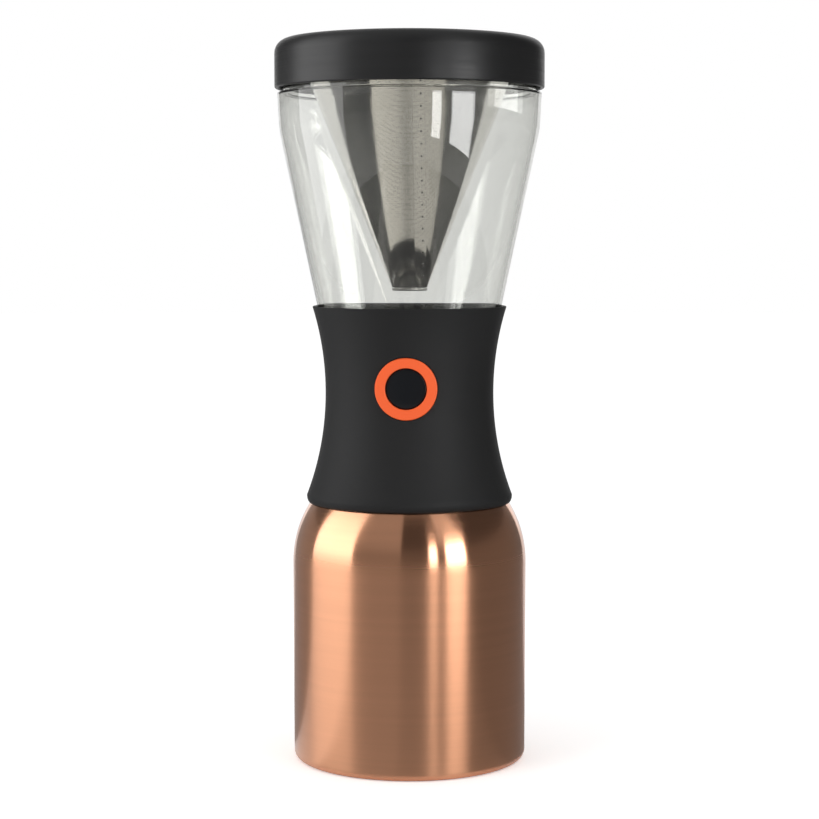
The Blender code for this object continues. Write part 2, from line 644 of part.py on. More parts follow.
def jar_outline(inset):
    """Side of the jar from its floor fillet up to its shoulder, moved in by inset."""
    fillet = JAR_FLOOR_FILLET - inset
    centre = (
        jar_wall_radius(jar_bottom + JAR_FLOOR_FILLET) - JAR_FLOOR_FILLET / math.cos(jar_taper),
        jar_bottom + JAR_FLOOR_FILLET,
    )
    side = arc(centre, fillet, -math.pi / 2, -jar_taper, 5)
    side += arc(bend_centre, JAR_BEND_RADIUS - inset, -jar_taper, -jar_upper_draft, 2)
    return side


def brew_jar():
    """Clear jar: floor with a hole, tapered wall, bend, shoulder and mouth."""
    step = JAR_SHOULDER_ROUND
    outside = [(outlet_hole_radius, jar_bottom)]
    outside += jar_outline(0.0)
    outside += arc((jar_shoulder_radius - step, jar_shoulder - step), step, 0.0, math.pi / 2, 3)
    outside += [(jar_neck_radius, jar_shoulder), (jar_neck_radius, jar_top), (jar_mouth_radius, jar_top)]
    draft = JAR_SHOULDER_WALL * math.tan(jar_upper_draft)
    edge = jar_shoulder_radius - draft - JAR_WALL / math.cos(jar_upper_draft)
    under_shoulder = jar_shoulder - JAR_SHOULDER_WALL
    inside = [(jar_mouth_radius, under_shoulder), (edge, under_shoulder)]
    inside += list(reversed(jar_outline(JAR_WALL)))
    inside += [(outlet_hole_radius, jar_floor)]
    return turned("brew_jar", outside + inside, material("jar_clear", CLEAR, 0.05, 0.0, 1.0))


def jar_fixings():
    """Flanged drain through the jar's floor, the gasket under it, and the nut that clamps both."""
    flange_radius = outlet_hole_radius + OUTLET_FLANGE_WIDTH
    outline = [
        (OUTLET_RADIUS, outlet_bottom), (outlet_outer_radius, outlet_bottom),
        (outlet_outer_radius, outlet_flange_bottom), (flange_radius, outlet_flange_bottom),
        (flange_radius, outlet_top), (OUTLET_RADIUS, outlet_top),
    ]
    turned("jar_drain", outline, material("drain_plastic", BLACK, 0.5), SMALL_STEPS * 2)
    inner = outlet_hole_radius
    gasket_top = jar_gasket_bottom + JAR_GASKET
    outer = inner + JAR_GASKET_WIDTH
    ring("jar_gasket", inner, outer, jar_gasket_bottom, gasket_top, material("jar_silicone", SILICONE, 0.7))
    nut = material("nut_plastic", BLACK, 0.5)
    ring("jar_nut", inner, inner + NUT_WIDTH, nut_bottom, nut_top, nut, SMALL_STEPS, NUT_CHAMFER)


def stem_guide():
    """Spider in the drain: a ring, three arms and a hub that the stem slides in."""
    outer = OUTLET_RADIUS - CLEARANCE
    bore = STEM_RADIUS + CLEARANCE
    top = spider_bottom + SPIDER_HEIGHT
    finish = material("guide_plastic", BLACK, 0.5)
    piece = ring("stem_guide", outer - SPIDER_RING, outer, spider_bottom, top, finish, SMALL_STEPS)
    for i in range(SPIDER_ARMS):
        name = f"spider_arm_{i + 1}"
        shape = bmesh.new()
        bmesh.ops.create_cube(shape, size=1.0)
        start, end = bore + SPIDER_HUB_WALL / 2, outer - SPIDER_RING / 2
        size = (end - start, SPIDER_ARM_WIDTH, SPIDER_HEIGHT / 2)
        bmesh.ops.scale(shape, vec=size, verts=shape.verts)
        middle = spider_bottom + SPIDER_HEIGHT / 2
        bmesh.ops.translate(shape, vec=((start + end) / 2, 0.0, middle), verts=shape.verts)
        arm = placed(name, shape, None)
        arm.rotation_euler.z = math.tau * i / SPIDER_ARMS + math.pi / 2
        boolean(piece, helper(arm, name), "UNION")
    name = "spider_hub"
    hub = ring(name, bore, bore + SPIDER_HUB_WALL, spider_bottom, top, None, SMALL_STEPS)
    boolean(piece, helper(hub, name), "UNION")
    return piece


def sloped_cutter(name, low_point, size):
    """Block above the 45 degree plane that falls toward +Y and passes through low_point (y, z)."""
    shape = bmesh.new()
    bmesh.ops.create_cube(shape, size=2.0)
    bmesh.ops.scale(shape, vec=(size, size, size), verts=shape.verts)
    bmesh.ops.translate(shape, vec=(0.0, 0.0, size), verts=shape.verts)
    block = placed(name, shape, None, (0.0, *low_point))
    block.rotation_euler.x = -math.pi / 4
    return helper(block, name)


def valve():
    """Stem with a sloping foot, and the rubber stopper on its upper end."""
    outline = [
        (0.0, stem_slope_foot), (STEM_FOOT_RADIUS, stem_slope_foot), (STEM_FOOT_RADIUS, stem_foot_top),
        (STEM_RADIUS, stem_foot_top), (STEM_RADIUS, stem_top), (0.0, stem_top),
    ]
    stem = turned("valve_stem", outline, material("stem_steel", STEEL, 0.3, 1.0), SMALL_STEPS)
    name = "stem_slope_cut"
    block = sloped_cutter(name, (STEM_FOOT_RADIUS, stem_slope_foot), STEM_FOOT_RADIUS * 3)
    block.rotation_euler.x = math.pi - math.pi / 4
    boolean(stem, block, "DIFFERENCE")
    radius = OUTLET_RADIUS + STOPPER_OVERLAP
    socket = STEM_RADIUS + CLEARANCE
    edge = STOPPER_ROUND
    outline = [
        (0.0, stem_top + CLEARANCE), (socket, stem_top + CLEARANCE), (socket, stopper_bottom),
        (radius, stopper_bottom), (radius, stopper_top - edge), (radius - edge, stopper_top),
        (0.0, stopper_top),
    ]
    turned("valve_stopper", outline, material("stopper_silicone", SILICONE, 0.7), SMALL_STEPS)
    steel = material("valve_spring_steel", STEEL, 0.3, 1.0)
    low, high = stem_foot_top, spider_bottom
    centre = (0.0, 0.0, 0.0)
    wire = VALVE_SPRING_WIRE
    spring("valve_spring", VALVE_SPRING_RADIUS, wire, VALVE_SPRING_TURNS, low, high, steel, centre)


def button_ring():
    """Orange ring in the grip's front, with a barrel that screws into the guide behind it."""
    bevel = RING_BEVEL
    barrel_bore = BARREL_RADIUS - BARREL_WALL
    outline = [
        (ring_bore_radius + bevel, ring_face), (RING_RADIUS - bevel, ring_face),
        (RING_RADIUS, ring_face + bevel), (RING_RADIUS, ring_lip_back), (BARREL_RADIUS, ring_lip_back),
        (BARREL_RADIUS, barrel_back), (barrel_bore, barrel_back), (barrel_bore, ring_lip_back),
        (ring_bore_radius, ring_lip_back), (ring_bore_radius, ring_face + bevel),
    ]
    finish = material("ring_orange", ORANGE, 0.35)
    return turned("button_ring", outline, finish, ROUND_STEPS, (0.0, 0.0, button_axis), True)


def button_guide():
    """Guide behind the ring: a socket for the barrel, a floor, and a tail round the plunger."""
    socket = BARREL_RADIUS + CLEARANCE
    bore = plunger_radius + CLEARANCE
    tail = bore + GUIDE_TAIL_WALL
    front = barrel_back - GUIDE_SOCKET_DEPTH
    groove_end = guide_tail_end - SEAL_FROM_TAIL_END
    groove_start = groove_end - SEAL_GROOVE_LENGTH
    groove = bore + SEAL_WIDTH
    outline = [
        (socket, front), (socket + GUIDE_WALL, front), (socket + GUIDE_WALL, guide_floor_back),
        (tail, guide_floor_back), (tail, guide_tail_end), (bore, guide_tail_end), (bore, groove_end),
        (groove, groove_end), (groove, groove_start), (bore, groove_start), (bore, guide_floor_front),
        (socket, guide_floor_front),
    ]
    centre = (0.0, 0.0, button_axis)
    finish = material("button_guide_plastic", BLACK, 0.5)
    turned("button_guide", outline, finish, SMALL_STEPS * 2, centre, True)
    seal = (groove_end - groove_start) / 2 - CLEARANCE
    seal_outer = groove - CLEARANCE
    middle = ((bore + seal_outer) / 2, (groove_start + groove_end) / 2)
    outline = [
        (middle[0] + (seal_outer - middle[0]) * math.cos(a), middle[1] + seal * math.sin(a))
        for a in [math.tau * i / 8 for i in range(8)]
    ]
    rubber = material("plunger_rubber", SILICONE, 0.7)
    turned("plunger_seal", outline, rubber, SMALL_STEPS, centre, True)


def button():
    """Button cap behind the ring's lip, its plunger with a sloping end, and its spring."""
    centre = (0.0, 0.0, button_axis)
    front_radius = ring_bore_radius - CLEARANCE
    flange_radius = BARREL_RADIUS - BARREL_WALL - CLEARANCE
    socket = plunger_radius + CLEARANCE
    socket_floor = cap_back - CAP_SOCKET_DEPTH
    bevel = CAP_BEVEL
    outline = [
        (0.0, cap_face), (front_radius - bevel, cap_face), (front_radius, cap_face + bevel),
        (front_radius, cap_flange_front), (flange_radius, cap_flange_front), (flange_radius, cap_back),
        (socket, cap_back), (socket, socket_floor), (0.0, socket_floor),
    ]
    finish = material("button_gloss", BLACK, 0.15)
    turned("button_cap", outline, finish, ROUND_STEPS, centre, True)
    plastic = material("plunger_plastic", BLACK, 0.4)
    start, end = socket_floor + CLEARANCE, STEM_FOOT_RADIUS
    plunger = rod("button_plunger", plunger_radius, start, end, plastic, SMALL_STEPS, centre, True)
    block = sloped_cutter("plunger_slope_cut", (STEM_FOOT_RADIUS, plunger_low), plunger_radius * 3)
    boolean(plunger, block, "DIFFERENCE")
    steel = material("button_spring_steel", STEEL, 0.3, 1.0)
    radius = plunger_radius + BUTTON_SPRING_OVER_PLUNGER
    wire = BUTTON_SPRING_WIRE
    turns = BUTTON_SPRING_TURNS
    spring("button_spring", radius, wire, turns, cap_back, guide_floor_front, steel, centre, True)


def filter_basket():
    """Plastic rim on the jar's mouth, steel cone hung in it, and the cone's end cap."""
    rim_top = filter_rim_bottom + FILTER_RIM
    collar = jar_mouth_radius - CLEARANCE
    collar_bottom = filter_rim_bottom - FILTER_COLLAR_DEPTH
    outline = [
        (collar - FILTER_COLLAR_WALL, collar_bottom), (collar, collar_bottom),
        (collar, filter_rim_bottom), (filter_rim_radius, filter_rim_bottom),
        (filter_rim_radius, rim_top), (filter_hole_radius, rim_top),
        (filter_hole_radius, filter_rim_bottom), (collar - FILTER_COLLAR_WALL, filter_rim_bottom),
    ]
    turned("filter_rim", outline, material("rim_plastic", BLACK, 0.5))
    slope = (cone_top_radius - CONE_TIP_RADIUS) / (cone_flange_bottom - cone_bottom)
    across = CONE_WALL * math.sqrt(1 + slope**2)
    outline = [
        (CONE_TIP_RADIUS, cone_bottom), (cone_top_radius, cone_flange_bottom),
        (cone_top_radius + CONE_FLANGE_WIDTH, cone_flange_bottom),
        (cone_top_radius + CONE_FLANGE_WIDTH, cone_flange_top),
        (cone_top_radius - across + CONE_WALL * slope, cone_flange_top),
        (CONE_TIP_RADIUS - across, cone_bottom),
    ]
    turned("filter_cone", outline, material("cone_steel", STEEL, 0.25, 1.0))
    boss = CONE_TIP_RADIUS - across - CLEARANCE
    outline = [
        (0.0, tip_bottom), (CONE_TIP_RADIUS, tip_bottom), (CONE_TIP_RADIUS, tip_bottom + TIP_CAP),
        (boss, tip_bottom + TIP_CAP), (boss, cone_bottom + TIP_BOSS), (0.0, cone_bottom + TIP_BOSS),
    ]
    turned("filter_tip", outline, material("tip_steel", STEEL, 0.3, 1.0), ROUND_STEPS)


def lid():
    """Push-on lid: shell with a rounded top edge, liner ring on the filter's rim, and gasket."""
    fillet = LID_TOP_FILLET
    edge = LID_EDGE_ROUND
    outline = [(lid_inner_radius, lid_bottom)]
    outline += arc((lid_radius - edge, lid_bottom + edge), edge, -math.pi / 2, 0.0, 3)
    outline += arc((lid_radius - fillet, lid_top - fillet), fillet, 0.0, math.pi / 2, 6)
    outline += [(0.0, lid_top), (0.0, lid_ceiling)]
    inner = LID_INNER_FILLET
    outline += arc((lid_inner_radius - inner, lid_ceiling - inner), inner, math.pi / 2, 0.0, 3)
    turned("lid_shell", outline, material("lid_black", BLACK, 0.5))
    liner_inner = cone_top_radius + CONE_FLANGE_WIDTH + CLEARANCE
    liner_bottom = filter_rim_bottom + FILTER_RIM + CLEARANCE
    liner_top = lid_ceiling - CLEARANCE
    liner = material("liner_plastic", BLACK, 0.5)
    ring("lid_liner", liner_inner, filter_rim_radius, liner_bottom, liner_top, liner)
    low = lid_bottom + LID_GASKET_ABOVE_EDGE
    inner = jar_neck_radius + CLEARANCE
    rubber = material("lid_silicone", SILICONE, 0.7)
    ring("lid_gasket", inner, lid_gasket_radius, low, low + LID_GASKET_HEIGHT, rubber)


def main():
    clear_scene()
    carafe_outer()
    carafe_inner()
    carafe_base()
    grip_shell()
    shoulder_seat()
    mouth_gasket()
    drip_spout()
    core_housing()
    screws()
    brew_jar()
    jar_fixings()
    stem_guide()
    valve()
    button_ring()
    button_guide()
    button()
    filter_basket()
    lid()


main()
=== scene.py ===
"""Looks of the cold brew coffee maker: finely turned pieces in brushed copper, glass, steel mesh and
matt black, on a white floor under two soft lamps. Metres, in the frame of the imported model."""

import json
import math

import bmesh
import bpy
from mathutils import Matrix, Vector

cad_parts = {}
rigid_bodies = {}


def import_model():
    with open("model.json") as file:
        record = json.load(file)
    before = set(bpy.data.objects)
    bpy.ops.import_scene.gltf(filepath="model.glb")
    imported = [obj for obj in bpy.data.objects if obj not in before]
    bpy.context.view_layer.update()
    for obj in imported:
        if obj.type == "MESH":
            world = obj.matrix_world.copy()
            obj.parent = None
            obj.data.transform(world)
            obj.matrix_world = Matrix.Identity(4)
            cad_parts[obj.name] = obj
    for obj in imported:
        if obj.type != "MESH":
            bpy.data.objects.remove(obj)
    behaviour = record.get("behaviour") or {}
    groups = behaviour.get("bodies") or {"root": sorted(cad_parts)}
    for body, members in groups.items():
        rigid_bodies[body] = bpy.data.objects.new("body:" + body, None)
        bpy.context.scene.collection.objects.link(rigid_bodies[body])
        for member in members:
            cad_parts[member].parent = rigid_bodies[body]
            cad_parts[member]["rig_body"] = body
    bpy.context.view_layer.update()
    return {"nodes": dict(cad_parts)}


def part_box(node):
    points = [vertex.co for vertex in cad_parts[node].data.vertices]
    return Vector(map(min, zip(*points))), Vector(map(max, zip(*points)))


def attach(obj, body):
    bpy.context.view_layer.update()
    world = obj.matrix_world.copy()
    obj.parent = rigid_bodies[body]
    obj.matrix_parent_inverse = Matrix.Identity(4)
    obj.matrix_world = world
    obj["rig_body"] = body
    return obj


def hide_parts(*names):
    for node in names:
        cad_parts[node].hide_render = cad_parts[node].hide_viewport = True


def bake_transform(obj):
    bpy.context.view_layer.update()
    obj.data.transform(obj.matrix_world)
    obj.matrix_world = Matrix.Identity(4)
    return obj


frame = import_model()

# Facets and edges of the turned pieces
TURN_STEPS = 160
SMALL_TURN_STEPS = 96
ROUND_STEP_DEG = 12.0
ROUND_REACH = 0.49
SHARP_ANGLE_DEG = 38.0
FINE_EDGE = 0.0003

# Lid
LID_WALL = 0.002
LID_TOP = 0.0025
LID_TOP_FILLET = 0.0065
LID_INNER_FILLET = 0.002
LID_EDGE_ROUND = 0.0012

# Brewing jar. Its wall is thin at the step up to the neck, where the photo has only a fine line.
JAR_WALL = 0.0025
JAR_TAPER_DEG = 12.05
JAR_UPPER_DRAFT_DEG = 3.0
JAR_UPPER_BAND = 0.0169
JAR_BEND_ROUND = 0.040
JAR_FLOOR_FILLET = 0.010
JAR_NECK_HEIGHT = 0.016
JAR_SHOULDER_STEP = 0.00257
JAR_SHOULDER_ROUND = 0.0006
JAR_SHOULDER_WALL = 0.0008
JAR_STEP_ROUND = 0.0003
JAR_RIM_ROUND = 0.0009
JAR_HOLE_RADIUS = 0.0113

# Filter: the cone, the lapped seam down its front, and the row of spot welds on the seam.
# The seam's section is in shares of its half width and of the lap's height above the cone.
CONE_WALL = 0.0007
CONE_FLANGE_WIDTH = 0.0025
CONE_LIP_ROUND = 0.0003
SEAM_WIDTH = 0.0058
SEAM_PROUD = 0.00012
SEAM_ASIDE = 0.0056
SEAM_SECTION = (
    (-1.0, -1.0), (-0.95, 1.0), (-0.5, 1.0), (0.0, 1.0), (0.5, 1.0), (0.95, 1.0), (1.0, -1.0),
)
SEAM_STEPS = 40
SPOT_RADIUS = 0.00048
SPOT_PITCH = 0.0054
SPOT_ASIDE = 0.001
SPOT_FLATNESS = 0.25
SPOT_STEPS = 12
TIP_CAP = 0.0012
RIM_PLATE = 0.002
RIM_COLLAR_WALL = 0.0022

# Grip
GRIP_WAIST_RADIUS = 0.03915
GRIP_UPPER_HEIGHT = 0.040
GRIP_WALL = 0.0016
GRIP_LIP_WIDTH = 0.0014
GRIP_LIP_HEIGHT = 0.0033
GRIP_RIM_ROUND = 0.0006
GRIP_ARC_STEPS = 40
GRIP_LIP_STEPS = 8
GRIP_HOLE_GAP = 0.0003

# Button
RING_WIDTH = 0.0047
RING_ROUND = 0.00055
RING_LIP_DEPTH = 0.00235
BARREL_RADIUS = 0.0128
BARREL_WALL = 0.002
CAP_FRONT_RADIUS = 0.0091
CAP_ROUND = 0.0005
CAP_DOME = 0.0003
CAP_FLANGE = 0.0022

# Carafe
CARAFE_BODY_HEIGHT = 0.093
CARAFE_SHOULDER_RADIUS = 0.0505
CARAFE_DRAFT = 0.00025
CARAFE_FOOT_FILLET = 0.0037
CARAFE_FOOT_WIDTH = 0.004
CARAFE_WALL = 0.0008
CARAFE_ARC_STEPS = 20
VACUUM_GAP = 0.0037
INNER_FLOOR_FILLET = 0.006

# Colours, and what the materials share. A scale is the number of cells in a metre, and a stretch is
# that number along each axis.
BLACK = (0.012, 0.012, 0.0125)
STEEL = (0.6, 0.59, 0.57)
COPPER = (0.85, 0.415, 0.24)
MESH_STEEL = (0.66, 0.645, 0.61)
GLASS_FACE = (0.985, 0.99, 0.985, 1.0)
GLASS_BODY = (0.788, 0.789, 0.768, 1.0)
GLASS_SHADOW = (0.9, 0.91, 0.9, 1.0)
NOISE_LOW = 0.3
NOISE_HIGH = 0.7
DRIFT_SCALE = 25.0
TONE_DRIFT = 0.06
GLOSS_DRIFT = 0.04
LINES_ALONG = 8.0
LINES_ACROSS = 2600.0
BROAD_LINES = 6
STRETCH_UPWARD = 0.25

# Copper: roughness of the brushed wall and of the polished shoulder, and the band between them
COPPER_BRUSHED = 0.36
COPPER_POLISHED = 0.18
COPPER_POLISH_BAND = 0.009
COPPER_COAT = 0.45
COPPER_COAT_ROUGHNESS = 0.05

# Steel mesh: its holes' scale, where a hole ends and the steel begins, and how dark the painted shade in a
# hole is
HOLES_SCALE = 1100.0
HOLES_RANDOMNESS = 0.35
HOLE_END = 0.16
STEEL_START = 0.34
HOLE_SHADE_SHARE = 0.5
HOLE_DEPTH = 0.00001
MESH_GLOSS = (0.07, 0.13)
MESH_WAVE = 0.00003
MESH_WAVE_STRETCH = (60.0, 60.0, 9.0)

# Glass
GLASS_IOR = 1.57
GLASS_DENSITY = 320.0
GLASS_RIPPLE = 0.00002
GLASS_RIPPLE_SCALE = 30.0
GLASS_RIPPLE_STRETCH = (1.0, 1.0, 0.4)

# Camera
LENS_MM = 94.37
CAMERA_DISTANCE = 1.0
CAMERA_HEIGHT = 0.2437
CAMERA_PITCH_DEG = 4.58
CAMERA_AZIMUTH_DEG = 2.3

# Light: the world and two lamps for the object. A lamp is a name, an azimuth and a power in watts.
WORLD_FILL = 0.75
FLOOR_COLOUR = (0.94, 0.94, 0.94, 1.0)
FLOOR_LIFT = 0.34
FLOOR_RADIUS = 6.0
FLOOR_STEPS = 64
LAMPS = (("left_lamp", -50.0, 6.0), ("right_lamp", 45.0, 3.0))
LAMP_SIZE = 0.8
LAMP_DISTANCE = 1.5
LAMP_HEIGHT = 1.1
LAMP_AIM = 0.17

# Cards that only reflections see. Distances are from the object's axis, and levels are light, where 1
# is white. The window's panes are pairs of azimuths.
LEVEL = "level"
CARD_STEP_DEG = 3.0
CARD_LIFT = 0.001
CARD_NEAR = 0.056
CARD_BOX = 0.6
CARD_WALL = 0.75
CARD_BREAK = 0.33
CARD_TOP = 1.3
OVERHEAD_LEVEL = 0.4
PANES = ((21.0, 28.5), (37.5, 57.5))
PANE_BOTTOM = 0.1
PANE_TOP = 0.33

# Cards that show only in what is in the jar: a dark ground, streaks, the panes again, and a sheet of
# paper in front. The paper's rows are (y, left, right), and its shares run from left to right.
LEFT_GROUND_LEVEL = 0.05
RIGHT_GROUND_LEVEL = 0.12
STREAK_TOP = 0.75
INNER_PANE_LEVEL = 8.0
PAPER_COLOUR = (1.0, 0.965, 0.905)
PAPER_SHARES = (1.15, 0.86, 0.55, 0.8, 0.8)
PAPER_FOLD = -0.02
PAPER_ROWS = (
    (0.1, -0.31, 0.33), (0.0, -0.31, 0.32), (-0.177, -0.31, 0.31), (-0.309, -0.305, 0.29),
    (-0.74, -0.295, 0.25),
)


def arc(centre, radius, start, end, steps):
    """Points (r, z) along an arc; angles are in radians from the r axis."""
    angles = [start + (end - start) * i / steps for i in range(steps + 1)]
    return [(centre[0] + radius * math.cos(a), centre[1] + radius * math.sin(a)) for a in angles]


def softened(corners):
    """The closed outline through corners (r, z) or (r, z, round), with an arc at each round one."""
    outline = []
    for i, corner in enumerate(corners):
        here = Vector(corner[:2])
        before = Vector(corners[i - 1][:2]) - here
        after = Vector(corners[(i + 1) % len(corners)][:2]) - here
        if len(corner) < 3 or before.length == 0 or after.length == 0:
            outline.append(tuple(here))
            continue
        inside = before.angle(after)
        reach = corner[2] / math.tan(inside / 2)
        reach = min(reach, before.length * ROUND_REACH, after.length * ROUND_REACH)
        radius = reach * math.tan(inside / 2)
        start = here + before.normalized() * reach
        end = here + after.normalized() * reach
        bisector = (before.normalized() + after.normalized()).normalized()
        middle = here + bisector * math.hypot(reach, radius)
        turn = math.pi - inside
        steps = max(2, round(math.degrees(turn) / ROUND_STEP_DEG))
        first = start - middle
        sign = 1 if first.cross(end - middle) > 0 else -1
        for step in range(steps + 1):
            point = middle + Matrix.Rotation(sign * turn * step / steps, 2) @ first
            outline.append(tuple(point))
    return outline


def placed(name, shape, finish, body):
    """A piece from a finished bmesh, smooth but for its sharp edges, riding on a body."""
    mesh = bpy.data.meshes.new(name)
    shape.to_mesh(mesh)
    shape.free()
    mesh.shade_smooth()
    mesh.set_sharp_from_angle(angle=math.radians(SHARP_ANGLE_DEG))
    mesh.materials.append(finish)
    piece = bpy.data.objects.new(name, mesh)
    bpy.context.collection.objects.link(piece)
    if body:
        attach(piece, body)
    return piece


def spun(outline, steps, centre=(0.0, 0.0, 0.0), along_y=False):
    """A bmesh of a closed outline (r, z) spun round Z, or round Y through centre."""
    shape = bmesh.new()
    points = [shape.verts.new((max(r, 0.0), 0.0, z)) for r, z in outline]
    for here, after in zip(points, points[1:] + points[:1]):
        if here.co.x > 0.0 or after.co.x > 0.0:
            shape.edges.new((here, after))
    bmesh.ops.spin(
        shape,
        geom=shape.verts[:] + shape.edges[:],
        cent=(0.0, 0.0, 0.0),
        axis=(0.0, 0.0, 1.0),
        angle=math.tau,
        steps=steps,
    )
    bmesh.ops.remove_doubles(shape, verts=shape.verts[:], dist=FINE_EDGE / steps)
    bmesh.ops.recalc_face_normals(shape, faces=shape.faces[:])
    if along_y:
        turn = Matrix.Rotation(-math.pi / 2, 3, "X")
        bmesh.ops.rotate(shape, verts=shape.verts[:], cent=(0, 0, 0), matrix=turn)
    bmesh.ops.translate(shape, vec=centre, verts=shape.verts[:])
    return shape


def turned(name, node, corners, finish, steps=TURN_STEPS, centre=(0.0, 0.0, 0.0), along_y=False):
    """A finely turned piece that stands for a CAD node and rides where the node rides."""
    body = frame["nodes"][node]["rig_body"]
    piece = placed(name, spun(softened(corners), steps, centre, along_y), finish, body)
    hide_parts(node)
    return piece


def extent(node):
    """Outer radius, bottom and top of a node that is turned round Z."""
    low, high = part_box(node)
    return high.x, low.z, high.z


# Materials


def new_material(name):
    """A material with an empty Principled shader: the material, its nodes, its links and the shader."""
    made = bpy.data.materials.new(name)
    made.use_nodes = True
    nodes, links = made.node_tree.nodes, made.node_tree.links
    return made, nodes, links, nodes["Principled BSDF"]


def place_texture(nodes, links, stretch):
    """Object coordinates, stretched by a factor along each axis."""
    where = nodes.new("ShaderNodeTexCoord")
    mapping = nodes.new("ShaderNodeMapping")
    mapping.inputs["Scale"].default_value = stretch
    links.new(where.outputs["Object"], mapping.inputs["Vector"])
    return mapping.outputs["Vector"]


def noise(nodes, links, vector, scale, detail=2.0):
    """A noise value over the surface."""
    made = nodes.new("ShaderNodeTexNoise")
    made.inputs["Scale"].default_value = scale
    made.inputs["Detail"].default_value = detail
    links.new(vector, made.inputs["Vector"])
    return made.outputs["Fac"]


def spread(nodes, links, value, low, high):
    """A noise value, most of which lies from NOISE_LOW to NOISE_HIGH, spread from low to high."""
    made = nodes.new("ShaderNodeMapRange")
    made.inputs["From Min"].default_value = NOISE_LOW
    made.inputs["From Max"].default_value = NOISE_HIGH
    made.inputs["To Min"].default_value = low
    made.inputs["To Max"].default_value = high
    links.new(value, made.inputs["Value"])
    return made.outputs["Result"]


def two_tones(nodes, links, value, dark, light):
    """A colour between two tones that follows a noise value."""
    made = nodes.new("ShaderNodeValToRGB")
    made.color_ramp.elements[0].position = NOISE_LOW
    made.color_ramp.elements[0].color = (*dark, 1.0)
    made.color_ramp.elements[1].position = NOISE_HIGH
    made.color_ramp.elements[1].color = (*light, 1.0)
    links.new(value, made.inputs["Fac"])
    return made.outputs["Color"]


def bump(nodes, links, value, depth, normal=None):
    """A bump of this depth in metres from a value between 0 and 1."""
    made = nodes.new("ShaderNodeBump")
    made.inputs["Distance"].default_value = depth
    links.new(value, made.inputs["Height"])
    if normal:
        links.new(normal, made.inputs["Normal"])
    return made.outputs["Normal"]


def tones_of(colour, share):
    """The two tones that lie this share below and above a colour."""
    return tuple(c * (1 - share) for c in colour), tuple(min(1.0, c * (1 + share)) for c in colour)


def moulded(name, colour, roughness, grain_depth, grain_scale=3000.0, specular=0.5):
    """Moulded plastic or rubber: a fine spark-eroded grain and slight drifts of tone and gloss."""
    made, nodes, links, shader = new_material(name)
    where = place_texture(nodes, links, (1.0, 1.0, 1.0))
    grain = noise(nodes, links, where, grain_scale, 3.0)
    drift = noise(nodes, links, where, DRIFT_SCALE)
    links.new(two_tones(nodes, links, drift, *tones_of(colour, TONE_DRIFT)), shader.inputs["Base Color"])
    gloss = spread(nodes, links, grain, roughness - GLOSS_DRIFT, roughness + GLOSS_DRIFT)
    links.new(gloss, shader.inputs["Roughness"])
    links.new(bump(nodes, links, grain, grain_depth), shader.inputs["Normal"])
    shader.inputs["Specular IOR Level"].default_value = specular
    return made


def brushed(name, colour, roughness, line_depth, metallic=1.0, anisotropy=0.6, unevenness=0.05):
    """Metal brushed or turned round the Z axis: level lines, long along the surface and fine across it.

    Its highlights stretch up and down, across the lines."""
    made, nodes, links, shader = new_material(name)
    stretch = (LINES_ALONG, LINES_ALONG, LINES_ACROSS)
    fine = noise(nodes, links, place_texture(nodes, links, stretch), 1.0)
    stretch = (LINES_ALONG, LINES_ALONG, LINES_ACROSS / BROAD_LINES)
    broad = noise(nodes, links, place_texture(nodes, links, stretch), 1.0)
    links.new(two_tones(nodes, links, broad, *tones_of(colour, unevenness)), shader.inputs["Base Color"])
    gloss = spread(nodes, links, fine, roughness - unevenness, roughness + unevenness)
    links.new(gloss, shader.inputs["Roughness"])
    links.new(bump(nodes, links, fine, line_depth), shader.inputs["Normal"])
    shader.inputs["Metallic"].default_value = metallic
    shader.inputs["Anisotropic"].default_value = anisotropy
    shader.inputs["Anisotropic Rotation"].default_value = STRETCH_UPWARD
    return made


def brushed_copper():
    """Clear-coated copper: brushed round the upright wall, polished on the shoulder above it."""
    made = brushed(
        "brushed_copper", COPPER, roughness=COPPER_BRUSHED, line_depth=0.000001, anisotropy=0.95,
        unevenness=0.02,
    )
    nodes, links = made.node_tree.nodes, made.node_tree.links
    shader = nodes["Principled BSDF"]
    lines = shader.inputs["Roughness"].links[0].from_socket
    height = nodes.new("ShaderNodeSeparateXYZ")
    links.new(nodes.new("ShaderNodeTexCoord").outputs["Object"], height.inputs[0])
    polish = nodes.new("ShaderNodeMapRange")
    polish.inputs["From Min"].default_value = CARAFE_BODY_HEIGHT
    polish.inputs["From Max"].default_value = CARAFE_BODY_HEIGHT + COPPER_POLISH_BAND
    polish.inputs["To Min"].default_value = 0.0
    polish.inputs["To Max"].default_value = COPPER_BRUSHED - COPPER_POLISHED
    links.new(height.outputs["Z"], polish.inputs["Value"])
    smoother = nodes.new("ShaderNodeMath")
    smoother.operation = "SUBTRACT"
    links.new(lines, smoother.inputs[0])
    links.new(polish.outputs["Result"], smoother.inputs[1])
    links.new(smoother.outputs[0], shader.inputs["Roughness"])
    shader.inputs["Coat Weight"].default_value = COPPER_COAT
    shader.inputs["Coat Roughness"].default_value = COPPER_COAT_ROUGHNESS
    return made


